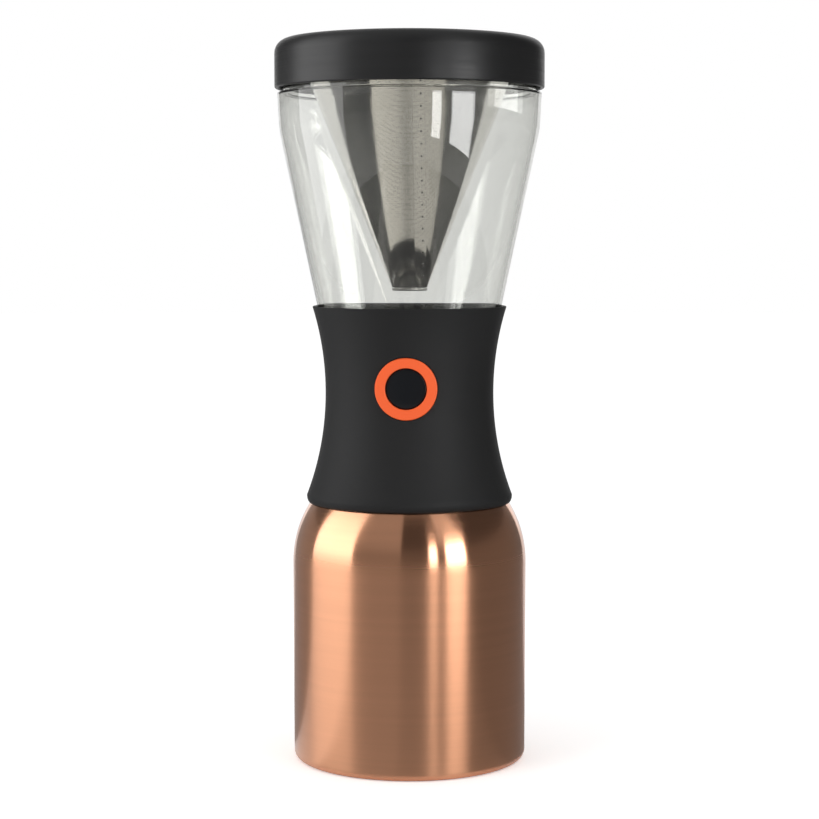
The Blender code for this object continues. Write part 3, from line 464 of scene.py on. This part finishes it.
def steel_mesh(name, colour):
    """Polished steel pierced by rows of tiny holes, each a bump with painted shade in it, with a slight
    unevenness from rolling.
    """
    made, nodes, links, shader = new_material(name)
    where = place_texture(nodes, links, (1.0, 1.0, 1.0))
    holes = nodes.new("ShaderNodeTexVoronoi")
    holes.inputs["Scale"].default_value = HOLES_SCALE
    holes.inputs["Randomness"].default_value = HOLES_RANDOMNESS
    links.new(where, holes.inputs["Vector"])
    drift = noise(nodes, links, place_texture(nodes, links, MESH_WAVE_STRETCH), 1.0, 3.0)
    # Painted shade: each hole is drawn as darker steel, standing for the dim inside seen through it.
    ramp = nodes.new("ShaderNodeValToRGB")
    ramp.color_ramp.elements[0].position = HOLE_END
    ramp.color_ramp.elements[0].color = (*[c * HOLE_SHADE_SHARE for c in colour], 1.0)
    ramp.color_ramp.elements[1].position = STEEL_START
    ramp.color_ramp.elements[1].color = (*colour, 1.0)
    links.new(holes.outputs["Distance"], ramp.inputs["Fac"])
    links.new(ramp.outputs["Color"], shader.inputs["Base Color"])
    links.new(spread(nodes, links, drift, *MESH_GLOSS), shader.inputs["Roughness"])
    wavy = bump(nodes, links, drift, MESH_WAVE)
    pierced = bump(nodes, links, holes.outputs["Distance"], HOLE_DEPTH, wavy)
    links.new(pierced, shader.inputs["Normal"])
    shader.inputs["Metallic"].default_value = 1.0
    return made


def clear_glass(name):
    """Clear polished jar: a faint grey-green body that shows where it is thick, and lets lamps through."""
    made, nodes, links, shader = new_material(name)
    where = place_texture(nodes, links, GLASS_RIPPLE_STRETCH)
    ripple = noise(nodes, links, where, GLASS_RIPPLE_SCALE, 1.0)
    links.new(bump(nodes, links, ripple, GLASS_RIPPLE), shader.inputs["Normal"])
    shader.inputs["Base Color"].default_value = GLASS_FACE
    shader.inputs["Roughness"].default_value = 0.0
    shader.inputs["IOR"].default_value = GLASS_IOR
    shader.inputs["Transmission Weight"].default_value = 1.0
    through = nodes.new("ShaderNodeBsdfTransparent")
    through.inputs["Color"].default_value = GLASS_SHADOW
    path = nodes.new("ShaderNodeLightPath")
    mix = nodes.new("ShaderNodeMixShader")
    links.new(path.outputs["Is Shadow Ray"], mix.inputs["Fac"])
    links.new(shader.outputs["BSDF"], mix.inputs[1])
    links.new(through.outputs["BSDF"], mix.inputs[2])
    body = nodes.new("ShaderNodeVolumeAbsorption")
    body.inputs["Color"].default_value = GLASS_BODY
    body.inputs["Density"].default_value = GLASS_DENSITY
    output = nodes["Material Output"]
    links.new(mix.outputs["Shader"], output.inputs["Surface"])
    links.new(body.outputs["Volume"], output.inputs["Volume"])
    return made


# Pieces


def lid():
    """Push-on lid with a rounded top edge, in black with fine level lines."""
    radius, bottom, top = extent("lid_shell")
    inner = radius - LID_WALL
    ceiling = top - LID_TOP
    finish = brushed(
        "lid_black", (0.011, 0.011, 0.0115), roughness=0.42, line_depth=0.000004, metallic=0.0,
        anisotropy=0.5,
    )
    corners = [
        (inner, bottom, FINE_EDGE), (radius, bottom, LID_EDGE_ROUND), (radius, top, LID_TOP_FILLET),
        (0.0, top), (0.0, ceiling), (inner, ceiling, LID_INNER_FILLET),
    ]
    turned("lid_cover", "lid_shell", corners, finish)


def jar_corners(inset):
    """Corners of the jar's side from its shoulder down to its floor, moved in by inset."""
    shoulder_radius, bottom, top = extent("brew_jar")
    shoulder = top - JAR_NECK_HEIGHT
    taper = math.tan(math.radians(JAR_TAPER_DEG))
    draft = math.tan(math.radians(JAR_UPPER_DRAFT_DEG))
    bend = shoulder - JAR_UPPER_BAND
    bend_radius = shoulder_radius - JAR_UPPER_BAND * draft
    floor = bottom + inset
    side_inset = inset / math.cos(math.radians(JAR_TAPER_DEG))
    floor_radius = bend_radius - (bend - floor) * taper - side_inset
    return [
        (shoulder_radius - inset, shoulder), (bend_radius - inset, bend, JAR_BEND_ROUND - inset),
        (floor_radius, floor, JAR_FLOOR_FILLET - inset),
    ]


def jar():
    """Clear jar with its wall's thickness: neck, shoulder, upright band, bend, taper and floor."""
    shoulder_radius, bottom, top = extent("brew_jar")
    shoulder = top - JAR_NECK_HEIGHT
    neck = shoulder_radius - JAR_SHOULDER_STEP
    mouth = neck - JAR_WALL
    outside = jar_corners(0.0)
    outside[0] = (*outside[0], JAR_SHOULDER_ROUND)
    inside = jar_corners(JAR_WALL)[1:]
    corners = [(neck, top, JAR_RIM_ROUND), (neck, shoulder, FINE_EDGE)]
    corners += outside
    corners += [(JAR_HOLE_RADIUS, bottom, FINE_EDGE), (JAR_HOLE_RADIUS, bottom + JAR_WALL, FINE_EDGE)]
    corners += reversed(inside)
    under = shoulder - JAR_SHOULDER_WALL
    draft = math.radians(JAR_UPPER_DRAFT_DEG)
    edge = shoulder_radius - JAR_SHOULDER_WALL * math.tan(draft) - JAR_WALL / math.cos(draft)
    corners += [(edge, under, JAR_STEP_ROUND), (mouth, under, JAR_STEP_ROUND), (mouth, top, JAR_RIM_ROUND)]
    turned("jar_glass", "brew_jar", corners, clear_glass("clear_glass"))


def drain():
    """Flanged drain in the jar's floor."""
    black = moulded("drain_plastic", BLACK, roughness=0.42, grain_depth=0.000008, specular=0.3)
    radius, bottom, top = extent("jar_drain")
    bore = extent("stem_guide")[0] + FINE_EDGE
    outer = JAR_HOLE_RADIUS - FINE_EDGE
    flange_bottom = extent("brew_jar")[1] + JAR_WALL + FINE_EDGE
    corners = [
        (bore, bottom, FINE_EDGE), (outer, bottom, FINE_EDGE), (outer, flange_bottom),
        (radius, flange_bottom, FINE_EDGE), (radius, top, FINE_EDGE), (bore, top, FINE_EDGE),
    ]
    turned("drain_fitting", "jar_drain", corners, black, SMALL_TURN_STEPS)


def filter_basket():
    """Plastic rim on the jar's mouth, pierced steel cone with a welded seam, and its end cap."""
    steel = steel_mesh("cone_steel", MESH_STEEL)
    flange_radius, bottom, top = extent("filter_cone")
    tip_radius, tip_bottom, tip_top = extent("filter_tip")
    top_radius = flange_radius - CONE_FLANGE_WIDTH
    under_flange = top - CONE_WALL
    slope = (top_radius - tip_radius) / (under_flange - bottom)
    across = CONE_WALL * math.hypot(1.0, slope)
    corners = [
        (tip_radius, bottom, CONE_LIP_ROUND), (top_radius, under_flange, CONE_WALL),
        (flange_radius, under_flange, CONE_LIP_ROUND), (flange_radius, top, CONE_LIP_ROUND),
        (top_radius - across + CONE_WALL * slope, top, CONE_WALL), (tip_radius - across, bottom),
    ]
    turned("mesh_cone", "filter_cone", corners, steel)
    boss = tip_radius - across - FINE_EDGE
    cap_top = tip_bottom + TIP_CAP
    corners = [
        (0.0, tip_bottom), (tip_radius, tip_bottom, FINE_EDGE * 2), (tip_radius, cap_top, FINE_EDGE),
        (boss, cap_top), (boss, tip_top, FINE_EDGE), (0.0, tip_top),
    ]
    tip_steel = brushed("tip_steel", (0.3, 0.295, 0.28), roughness=0.28, line_depth=0.000004)
    turned("cone_tip", "filter_tip", corners, tip_steel, SMALL_TURN_STEPS)
    cone_seam(steel, slope, tip_radius, bottom, under_flange)
    rim()


def cone_seam(steel, slope, tip_radius, bottom, top):
    """Lapped seam down the cone's front, right of its middle, with a row of spot welds on it."""

    def seam_place(z, aside=SEAM_ASIDE):
        """The cone's radius at this height, and the seam's directions outward and sideways there."""
        radius = tip_radius + (z - bottom) * slope
        azimuth = math.asin(aside / radius)
        outward = Vector((math.sin(azimuth), -math.cos(azimuth), 0.0))
        return radius, azimuth, outward, Vector((math.cos(azimuth), math.sin(azimuth), 0.0))

    shape = bmesh.new()
    rows = []
    for i in range(SEAM_STEPS + 1):
        z = bottom + (top - bottom) * i / SEAM_STEPS
        radius, _, outward, sideways = seam_place(z)
        line = []
        for share, proud in SEAM_SECTION:
            half = SEAM_WIDTH / 2 * share
            sag = radius - math.sqrt(radius**2 - half**2)
            point = outward * (radius - sag + SEAM_PROUD * proud) + sideways * half
            line.append(shape.verts.new((point.x, point.y, z)))
        rows.append(line)
    for below, above in zip(rows, rows[1:]):
        for i in range(len(below)):
            after = (i + 1) % len(below)
            shape.faces.new((below[i], below[after], above[after], above[i]))
    shape.faces.new(rows[0][::-1])
    shape.faces.new(rows[-1])
    bmesh.ops.recalc_face_normals(shape, faces=shape.faces[:])
    seam = placed("cone_seam", shape, steel, "filter")
    spots = bmesh.new()
    for i in range(1, int((top - bottom) / SPOT_PITCH)):
        z = bottom + SPOT_PITCH * i
        radius, azimuth, outward, _ = seam_place(z, SEAM_ASIDE + SPOT_ASIDE)
        lean = Matrix.Rotation(azimuth, 3, "Z") @ Matrix.Rotation(math.pi / 2 + math.atan(slope), 3, "X")
        dome = bmesh.ops.create_uvsphere(
            spots, u_segments=SPOT_STEPS, v_segments=SPOT_STEPS // 2, radius=SPOT_RADIUS
        )["verts"]
        bmesh.ops.scale(spots, vec=(1.0, 1.0, SPOT_FLATNESS), verts=dome)
        bmesh.ops.rotate(spots, verts=dome, cent=(0, 0, 0), matrix=lean)
        middle = outward * (radius + SEAM_PROUD)
        bmesh.ops.translate(spots, vec=(middle.x, middle.y, z), verts=dome)
    weld = brushed("weld_steel", (0.16, 0.155, 0.145), roughness=0.4, line_depth=0.000002)
    piece = placed("cone_spot_welds", spots, weld, "filter")


def rim():
    """Black ring that rests on the jar's mouth and reaches into it."""
    radius, bottom, top = extent("filter_rim")
    low = top - RIM_PLATE
    collar = radius - JAR_WALL
    hole = extent("filter_cone")[0] - CONE_FLANGE_WIDTH + FINE_EDGE
    inner = collar - RIM_COLLAR_WALL
    corners = [
        (inner, bottom, FINE_EDGE), (collar, bottom, FINE_EDGE * 2), (collar, low, FINE_EDGE),
        (radius, low, FINE_EDGE), (radius, top, FINE_EDGE * 2), (hole, top, FINE_EDGE * 2),
        (hole, low, FINE_EDGE), (inner, low, FINE_EDGE),
    ]
    finish = moulded("rim_plastic", (0.022, 0.022, 0.023), roughness=0.4, grain_depth=0.000008)
    turned("basket_rim", "filter_rim", corners, finish)


def grip():
    """Hourglass grip in soft matt black, with the button's round hole in its front."""
    foot_radius, bottom, top = extent("grip_shell")
    waist = top - GRIP_UPPER_HEIGHT
    foot = bottom + GRIP_LIP_HEIGHT
    lip_radius = foot_radius - GRIP_LIP_WIDTH
    flare = foot_radius - GRIP_WAIST_RADIUS
    arc_radius = ((waist - foot) ** 2 + flare**2) / (2 * flare)

    def side(z, inset):
        """Point of the grip's side at this height, moved in by inset."""
        return GRIP_WAIST_RADIUS + arc_radius - math.sqrt(arc_radius**2 - (z - waist) ** 2) - inset, z

    rim_low = top - GRIP_RIM_ROUND * 2
    levels = [foot + (rim_low - foot) * i / GRIP_ARC_STEPS for i in range(GRIP_ARC_STEPS + 1)]
    lip = []
    for i in range(GRIP_LIP_STEPS):
        angle = math.pi / 2 * i / GRIP_LIP_STEPS
        lip_z = foot - GRIP_LIP_HEIGHT * math.cos(angle)
        lip.append((lip_radius + GRIP_LIP_WIDTH * math.sin(angle), lip_z))
    corners = lip + [side(z, 0.0) for z in levels]
    corners += [(*side(top, 0.0), GRIP_RIM_ROUND), (*side(top, GRIP_WALL), GRIP_RIM_ROUND)]
    corners += [side(z, GRIP_WALL) for z in reversed(levels)]
    finish = moulded(
        "grip_black", BLACK, roughness=0.6, grain_depth=0.000015, grain_scale=2500.0, specular=0.3,
    )
    shape = spun(softened(corners), TURN_STEPS)
    piece = placed("grip_skin", shape, finish, None)
    low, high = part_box("button_ring")
    hole_radius = high.x + GRIP_HOLE_GAP
    front, back = low.y - RING_WIDTH, -GRIP_WAIST_RADIUS / 2
    hole = [(0.0, front), (hole_radius, front), (hole_radius, back), (0.0, back)]
    cutter_shape = spun(hole, SMALL_TURN_STEPS, (0.0, 0.0, (low.z + high.z) / 2), True)
    cutter = placed("grip_hole", cutter_shape, finish, None)
    cut = piece.modifiers.new("hole", "BOOLEAN")
    cut.solver = "EXACT"
    cut.object = cutter
    bpy.context.view_layer.update()
    worked = piece.evaluated_get(bpy.context.evaluated_depsgraph_get())
    fine = bpy.data.meshes.new_from_object(worked)
    piece.modifiers.clear()
    piece.data = fine
    fine.set_sharp_from_angle(angle=math.radians(SHARP_ANGLE_DEG))
    bpy.data.objects.remove(cutter)
    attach(piece, "brewer")
    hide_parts("grip_shell")


def button():
    """Orange ring with rounded edges, and the glossy bare cap behind its lip."""
    low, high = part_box("button_ring")
    centre = (0.0, 0.0, (low.z + high.z) / 2)
    radius, face, back = high.x, low.y, high.y
    bore = radius - RING_WIDTH
    lip_back = face + RING_LIP_DEPTH
    barrel_bore = BARREL_RADIUS - BARREL_WALL
    corners = [
        (bore, face, RING_ROUND), (radius, face, RING_ROUND), (radius, lip_back, FINE_EDGE),
        (BARREL_RADIUS, lip_back), (BARREL_RADIUS, back, FINE_EDGE), (barrel_bore, back, FINE_EDGE),
        (barrel_bore, lip_back), (bore, lip_back, FINE_EDGE),
    ]
    orange = moulded(
        "ring_orange", (1.0, 0.135, 0.032), roughness=0.38, grain_depth=0.000004, grain_scale=2500.0,
        specular=0.25,
    )
    turned("button_bezel", "button_ring", corners, orange, SMALL_TURN_STEPS, centre, True)
    low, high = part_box("button_cap")
    flange_radius, face, back = high.x, low.y, high.y
    flange = back - CAP_FLANGE
    corners = [
        (0.0, face), (CAP_FRONT_RADIUS / 2, face + CAP_DOME / 4),
        (CAP_FRONT_RADIUS, face + CAP_DOME, CAP_ROUND), (CAP_FRONT_RADIUS, flange),
        (flange_radius, flange, FINE_EDGE), (flange_radius, back, FINE_EDGE), (0.0, back),
    ]
    gloss = moulded(
        "button_gloss", (0.008, 0.009, 0.011), roughness=0.14, grain_depth=0.000001, grain_scale=800.0,
        specular=0.35,
    )
    turned("button_face", "button_cap", corners, gloss, SMALL_TURN_STEPS, centre, True)


def carafe():
    """Copper outer vessel brushed round its body, and the steel vessel inside it."""
    radius, bottom, neck_top = extent("carafe_outer")
    _, low, top = extent("carafe_inner")
    arc_centre = (radius - CARAFE_SHOULDER_RADIUS, CARAFE_BODY_HEIGHT)
    foot = radius - CARAFE_DRAFT
    neck_radius = extent("mouth_gasket")[0]

    def shoulder(inset, at_neck):
        """Arc of the shoulder from the wall up to the neck, moved in by inset."""
        size = CARAFE_SHOULDER_RADIUS - inset
        end = math.acos((at_neck - arc_centre[0]) / size)
        return arc(arc_centre, size, 0.0, end, CARAFE_ARC_STEPS)

    wall = CARAFE_WALL
    foot_edge = foot - CARAFE_FOOT_FILLET - CARAFE_FOOT_WIDTH
    corners = [(foot_edge, bottom, FINE_EDGE)]
    corners += [(foot, bottom, CARAFE_FOOT_FILLET)]
    corners += shoulder(0.0, neck_radius)
    corners += [(neck_radius, neck_top, FINE_EDGE), (neck_radius - wall, neck_top)]
    corners += reversed(shoulder(wall, neck_radius - wall))
    corners += [(foot - wall, bottom + wall, CARAFE_FOOT_FILLET - wall)]
    corners += [(foot_edge, bottom + wall)]
    turned("copper_body", "carafe_outer", corners, brushed_copper())
    offset = wall + VACUUM_GAP
    inside_neck = neck_radius - wall - FINE_EDGE
    mouth = inside_neck - wall
    side = radius - CARAFE_DRAFT - offset
    corners = [(0.0, low), (side, low, INNER_FLOOR_FILLET)]
    corners += shoulder(offset, inside_neck)
    corners += [(inside_neck, neck_top + FINE_EDGE), (neck_radius, neck_top + FINE_EDGE, FINE_EDGE)]
    corners += [(neck_radius, top, FINE_EDGE), (mouth, top, FINE_EDGE)]
    corners += reversed(shoulder(offset + wall, mouth))
    corners += [(side - wall, low + wall, INNER_FLOOR_FILLET - wall), (0.0, low + wall)]
    steel = brushed("liner_steel", (0.62, 0.61, 0.59), roughness=0.22, line_depth=0.000003)
    turned("steel_liner", "carafe_inner", corners, steel)


def hidden_pieces():
    """Finishes for the CAD nodes that stay as they are: seals, fixings, valve and housings."""
    black = moulded("inner_plastic", BLACK, roughness=0.45, grain_depth=0.000008, specular=0.3)
    rubber = moulded(
        "silicone", (0.03, 0.03, 0.031), roughness=0.62, grain_depth=0.00001, grain_scale=1800.0,
    )
    steel = brushed("inner_steel", STEEL, roughness=0.3, line_depth=0.000003)
    finishes = {
        "shoulder_seat": rubber, "mouth_gasket": rubber, "base_pad": rubber, "jar_gasket": rubber,
        "plunger_seal": rubber, "lid_gasket": rubber, "valve_stopper": rubber,
        "carafe_base": steel, "vacuum_seal": steel, "core_screw_1": steel, "core_screw_2": steel,
        "core_screw_3": steel, "valve_stem": steel,
    }
    for name, node in frame["nodes"].items():
        node.data.materials.clear()
        node.data.materials.append(finishes.get(name, black))


def springs():
    """The two springs: steel copies of their CAD coils, standing where the coils are."""
    steel = brushed("spring_steel", STEEL, roughness=0.3, line_depth=0.000003)
    low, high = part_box("button_spring")
    level = (low.z + high.z) / 2
    ends = {"button_spring": ("button", (0.0, high.y, level), (0.0, low.y, level))}
    low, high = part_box("valve_spring")
    ends["valve_spring"] = ("valve", (0.0, 0.0, high.z), (0.0, 0.0, low.z))
    for node, (body, fixed, moving) in ends.items():
        mesh = frame["nodes"][node].data.copy()
        mesh.materials.clear()
        mesh.materials.append(steel)
        coil = bpy.data.objects.new(f"{node}_coil", mesh)
        bpy.context.collection.objects.link(coil)
        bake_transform(coil)
        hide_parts(node)


# Studio


def on_azimuth(azimuth_deg, distance, z):
    """A place at this azimuth, where 0 is in front of the button and 90 to its right."""
    a = math.radians(azimuth_deg)
    return distance * math.sin(a), -distance * math.cos(a), z


def either_ray(nodes, links, *names):
    """A value that is 1 for a ray of any of these kinds."""
    path = nodes.new("ShaderNodeLightPath")
    value = path.outputs[names[0]]
    for name in names[1:]:
        both = nodes.new("ShaderNodeMath")
        both.operation = "MAXIMUM"
        links.new(value, both.inputs[0])
        links.new(path.outputs[name], both.inputs[1])
        value = both.outputs[0]
    return value


def card_light(name, behind_glass):
    """Light of the cards, as their corners carry it; behind_glass keeps it to what is in the jar."""
    made = bpy.data.materials.new(name)
    made.use_nodes = True
    nodes, links = made.node_tree.nodes, made.node_tree.links
    nodes.clear()
    level = nodes.new("ShaderNodeAttribute")
    level.attribute_name = LEVEL
    light = nodes.new("ShaderNodeEmission")
    links.new(level.outputs["Color"], light.inputs["Color"])
    shown = light.outputs[0]
    if behind_glass:
        path = nodes.new("ShaderNodeLightPath")
        mix = nodes.new("ShaderNodeMixShader")
        clear = nodes.new("ShaderNodeBsdfTransparent")
        links.new(path.outputs["Glossy Depth"], mix.inputs["Fac"])
        links.new(clear.outputs[0], mix.inputs[1])
        links.new(shown, mix.inputs[2])
        shown = mix.outputs[0]
        made.cycles.emission_sampling = "NONE"
    output = nodes.new("ShaderNodeOutputMaterial")
    links.new(shown, output.inputs["Surface"])
    return made


def card(name, quads, light, behind_glass):
    """A card of four-cornered faces, whose corners are (place, level). Only reflections see it."""
    shape = bmesh.new()
    level = shape.loops.layers.float_color.new(LEVEL)
    for quad in quads:
        face = shape.faces.new([shape.verts.new(place) for place, _ in quad])
        for corner, (_, tone) in zip(face.loops, quad):
            corner[level] = (*(tone if isinstance(tone, tuple) else (tone,) * 3), 1.0)
    piece = placed(name, shape, light, None)
    piece.visible_camera = False
    piece.visible_shadow = False
    piece.visible_diffuse = False
    piece.visible_glossy = not behind_glass
    piece.visible_transmission = behind_glass


def round_card(name, start_deg, end_deg, profile, light, behind_glass=False):
    """A card bent round the object between two azimuths, through its profile's (distance, z, level)."""
    steps = max(2, round(abs(end_deg - start_deg) / CARD_STEP_DEG))
    azimuths = [start_deg + (end_deg - start_deg) * i / steps for i in range(steps + 1)]
    quads = []
    for near, far in zip(profile, profile[1:]):
        if near[:2] == far[:2]:
            continue
        for left, right in zip(azimuths, azimuths[1:]):
            corners = [(left, near), (right, near), (right, far), (left, far)]
            quads.append([(on_azimuth(a, *point[:2]), point[2]) for a, point in corners])
    card(name, quads, light, behind_glass)


def flat_card(name, rows, light):
    """A card on the floor that shows only in what is in the jar, through rows (y, ((x, level), ...))."""
    quads = []
    for (y, here), (next_y, there) in zip(rows, rows[1:]):
        for i in range(len(here) - 1):
            corners = [(here[i], y), (here[i + 1], y), (there[i + 1], next_y), (there[i], next_y)]
            quads.append([((x, along, CARD_LIFT * 2), level) for (x, level), along in corners])
    card(name, quads, light, True)


def wall_card(floor_level, low, high):
    """Profile of a card that lies on the floor and then stands up behind it, with two levels there."""
    return [
        (CARD_NEAR, CARD_LIFT, floor_level), (CARD_WALL, CARD_LIFT, floor_level),
        (CARD_WALL, CARD_LIFT, low), (CARD_WALL, CARD_BREAK, low), (CARD_WALL, CARD_BREAK, high),
        (CARD_WALL, CARD_TOP, high),
    ]


def upright(*levels):
    """Profile of a card that stands in front of the walls, from its (z, level) pairs."""
    return [(CARD_BOX, z, level) for z, level in levels]


def studio():
    """White world and floor, soft lamps, and cards that only reflections see."""
    world = bpy.data.worlds.new("studio_world")
    bpy.context.scene.world = world
    world.use_nodes = True
    nodes, links = world.node_tree.nodes, world.node_tree.links
    nodes.clear()
    seen = either_ray(nodes, links, "Is Camera Ray", "Is Glossy Ray", "Is Transmission Ray")
    mix = nodes.new("ShaderNodeMixShader")
    links.new(seen, mix.inputs["Fac"])
    for slot, strength in ((1, WORLD_FILL), (2, 1.0)):
        background = nodes.new("ShaderNodeBackground")
        background.inputs["Color"].default_value = (1.0, 1.0, 1.0, 1.0)
        background.inputs["Strength"].default_value = strength
        links.new(background.outputs[0], mix.inputs[slot])
    output = nodes.new("ShaderNodeOutputWorld")
    links.new(mix.outputs[0], output.inputs["Surface"])
    floor()
    lamps()
    cards()


def floor():
    """Pale floor that keeps the object's soft shadow, lifted to white for the camera and through glass."""
    made = bpy.data.materials.new("pale_floor")
    made.use_nodes = True
    nodes, links = made.node_tree.nodes, made.node_tree.links
    nodes.clear()
    matt = nodes.new("ShaderNodeBsdfDiffuse")
    matt.inputs["Color"].default_value = FLOOR_COLOUR
    lift = nodes.new("ShaderNodeMath")
    lift.operation = "MULTIPLY"
    lift.inputs[1].default_value = FLOOR_LIFT
    links.new(either_ray(nodes, links, "Is Camera Ray", "Is Transmission Ray"), lift.inputs[0])
    glowing = nodes.new("ShaderNodeEmission")
    links.new(lift.outputs[0], glowing.inputs["Strength"])
    both = nodes.new("ShaderNodeAddShader")
    links.new(matt.outputs[0], both.inputs[0])
    links.new(glowing.outputs[0], both.inputs[1])
    output = nodes.new("ShaderNodeOutputMaterial")
    links.new(both.outputs[0], output.inputs["Surface"])
    made.cycles.emission_sampling = "NONE"
    shape = bmesh.new()
    bmesh.ops.create_circle(shape, cap_ends=True, segments=FLOOR_STEPS, radius=FLOOR_RADIUS)
    placed("floor", shape, made, None)


def lamps():
    """Two soft lamps, left and right of the camera, that shade the object and its shadow."""
    for name, azimuth, power in LAMPS:
        data = bpy.data.lights.new(name, "AREA")
        data.size = LAMP_SIZE
        data.energy = power
        lamp = bpy.data.objects.new(name, data)
        lamp.location = on_azimuth(azimuth, LAMP_DISTANCE, LAMP_HEIGHT)
        towards = Vector((0.0, 0.0, LAMP_AIM)) - lamp.location
        lamp.rotation_euler = towards.to_track_quat("-Z", "Y").to_euler()
        lamp.visible_camera = False
        lamp.visible_glossy = False
        lamp.visible_transmission = False
        bpy.context.scene.collection.objects.link(lamp)


def cards():
    """What metal and gloss reflect: a soft box on the left, a barred window on the right, dark between."""
    light = card_light("card_light", False)
    ground = [(CARD_NEAR, CARD_LIFT, 0.8), (CARD_WALL, CARD_LIFT, 0.8)]
    box = upright((0.09, 1.8), (0.21, 2.6), (0.38, 2.3), (0.8, 1.3), (1.1, 0.95))
    above_window = upright((PANE_TOP, 0.65), (1.1, 0.65))
    reflected = [
        ("left_back", -150.0, -104.0, wall_card(0.28, 0.28, 0.12)),
        ("left_ground", -104.0, -54.0, ground),
        ("left_box", -104.0, -54.0, box),
        ("front_left", -54.0, -6.0, wall_card(0.37, 0.22, 0.36)),
        ("front", -6.0, 21.0, wall_card(0.34, 0.14, 0.066)),
        ("window_side", 21.0, 64.0, wall_card(0.25, 0.13, 0.12)),
        ("window_edge", *PANES[0], upright((PANE_BOTTOM, 5.5), (PANE_TOP, 6.0))),
        ("window", *PANES[1], upright((PANE_BOTTOM, 6.5), (PANE_TOP, 7.5))),
        ("window_top", 32.0, 56.0, above_window),
        ("right", 64.0, 150.0, wall_card(0.2, 0.15, 0.065)),
    ]
    for name, start, end, profile in reflected:
        round_card(f"{name}_card", start, end, profile, light)
    overhead = [(CARD_LIFT, CARD_TOP, OVERHEAD_LEVEL), (CARD_WALL, CARD_TOP, OVERHEAD_LEVEL)]
    round_card("overhead_card", -180.0, 180.0, overhead, light)
    cards_behind_glass()


def cards_behind_glass():
    """What the cone and the jar's inner faces reflect: dark ground, paper, streaks and window panes."""
    light = card_light("card_light_behind_glass", True)
    grounds = [
        ("dark_ground", -160.0, 20.0, LEFT_GROUND_LEVEL),
        ("right_ground", 20.0, 160.0, RIGHT_GROUND_LEVEL),
    ]
    for name, start, end, level in grounds:
        profile = [(CARD_NEAR, CARD_LIFT, level), (CARD_WALL, CARD_LIFT, level)]
        round_card(f"{name}_card", start, end, profile, light, True)
    tones = [tuple(c * share for c in PAPER_COLOUR) for share in PAPER_SHARES]
    rows = []
    for y, left, right in PAPER_ROWS:
        places = [left, left / 3, PAPER_FOLD, right / 3, right]
        rows.append((y, tuple(zip(places, tones))))
    flat_card("paper_card", rows, light)
    streaks = [
        ("right_soft", 72.0, 79.0, 0.3, 4.0), ("right", 79.0, 108.0, 0.3, 9.5),
        ("right_back", 108.0, 116.0, 0.3, 4.0), ("left_back", -92.0, -86.0, 0.46, 3.0),
        ("left", -86.0, -62.0, 0.46, 7.5), ("left_soft", -62.0, -52.0, 0.46, 3.0),
    ]
    for name, start, end, low, level in streaks:
        profile = upright((low, level), (STREAK_TOP, level))
        round_card(f"{name}_streak_card", start, end, profile, light, True)
    pane = upright((PANE_BOTTOM, INNER_PANE_LEVEL), (PANE_TOP, INNER_PANE_LEVEL))
    for number, (start, end) in enumerate(PANES, 1):
        round_card(f"inner_pane_card_{number}", start, end, pane, light, True)


def camera():
    """The photograph's view: a long lens a metre away, a little above the object and to its left."""
    data = bpy.data.cameras.new("camera")
    data.lens = LENS_MM
    made = bpy.data.objects.new("camera", data)
    made.location = on_azimuth(CAMERA_AZIMUTH_DEG, CAMERA_DISTANCE, CAMERA_HEIGHT)
    made.rotation_euler = (
        math.radians(90.0 - CAMERA_PITCH_DEG), 0.0, math.radians(CAMERA_AZIMUTH_DEG),
    )
    bpy.context.scene.collection.objects.link(made)
    bpy.context.scene.camera = made


bpy.context.scene.view_settings.view_transform = "Standard"
camera()
hidden_pieces()
springs()
lid()
jar()
drain()
filter_basket()
grip()
button()
carafe()
studio()
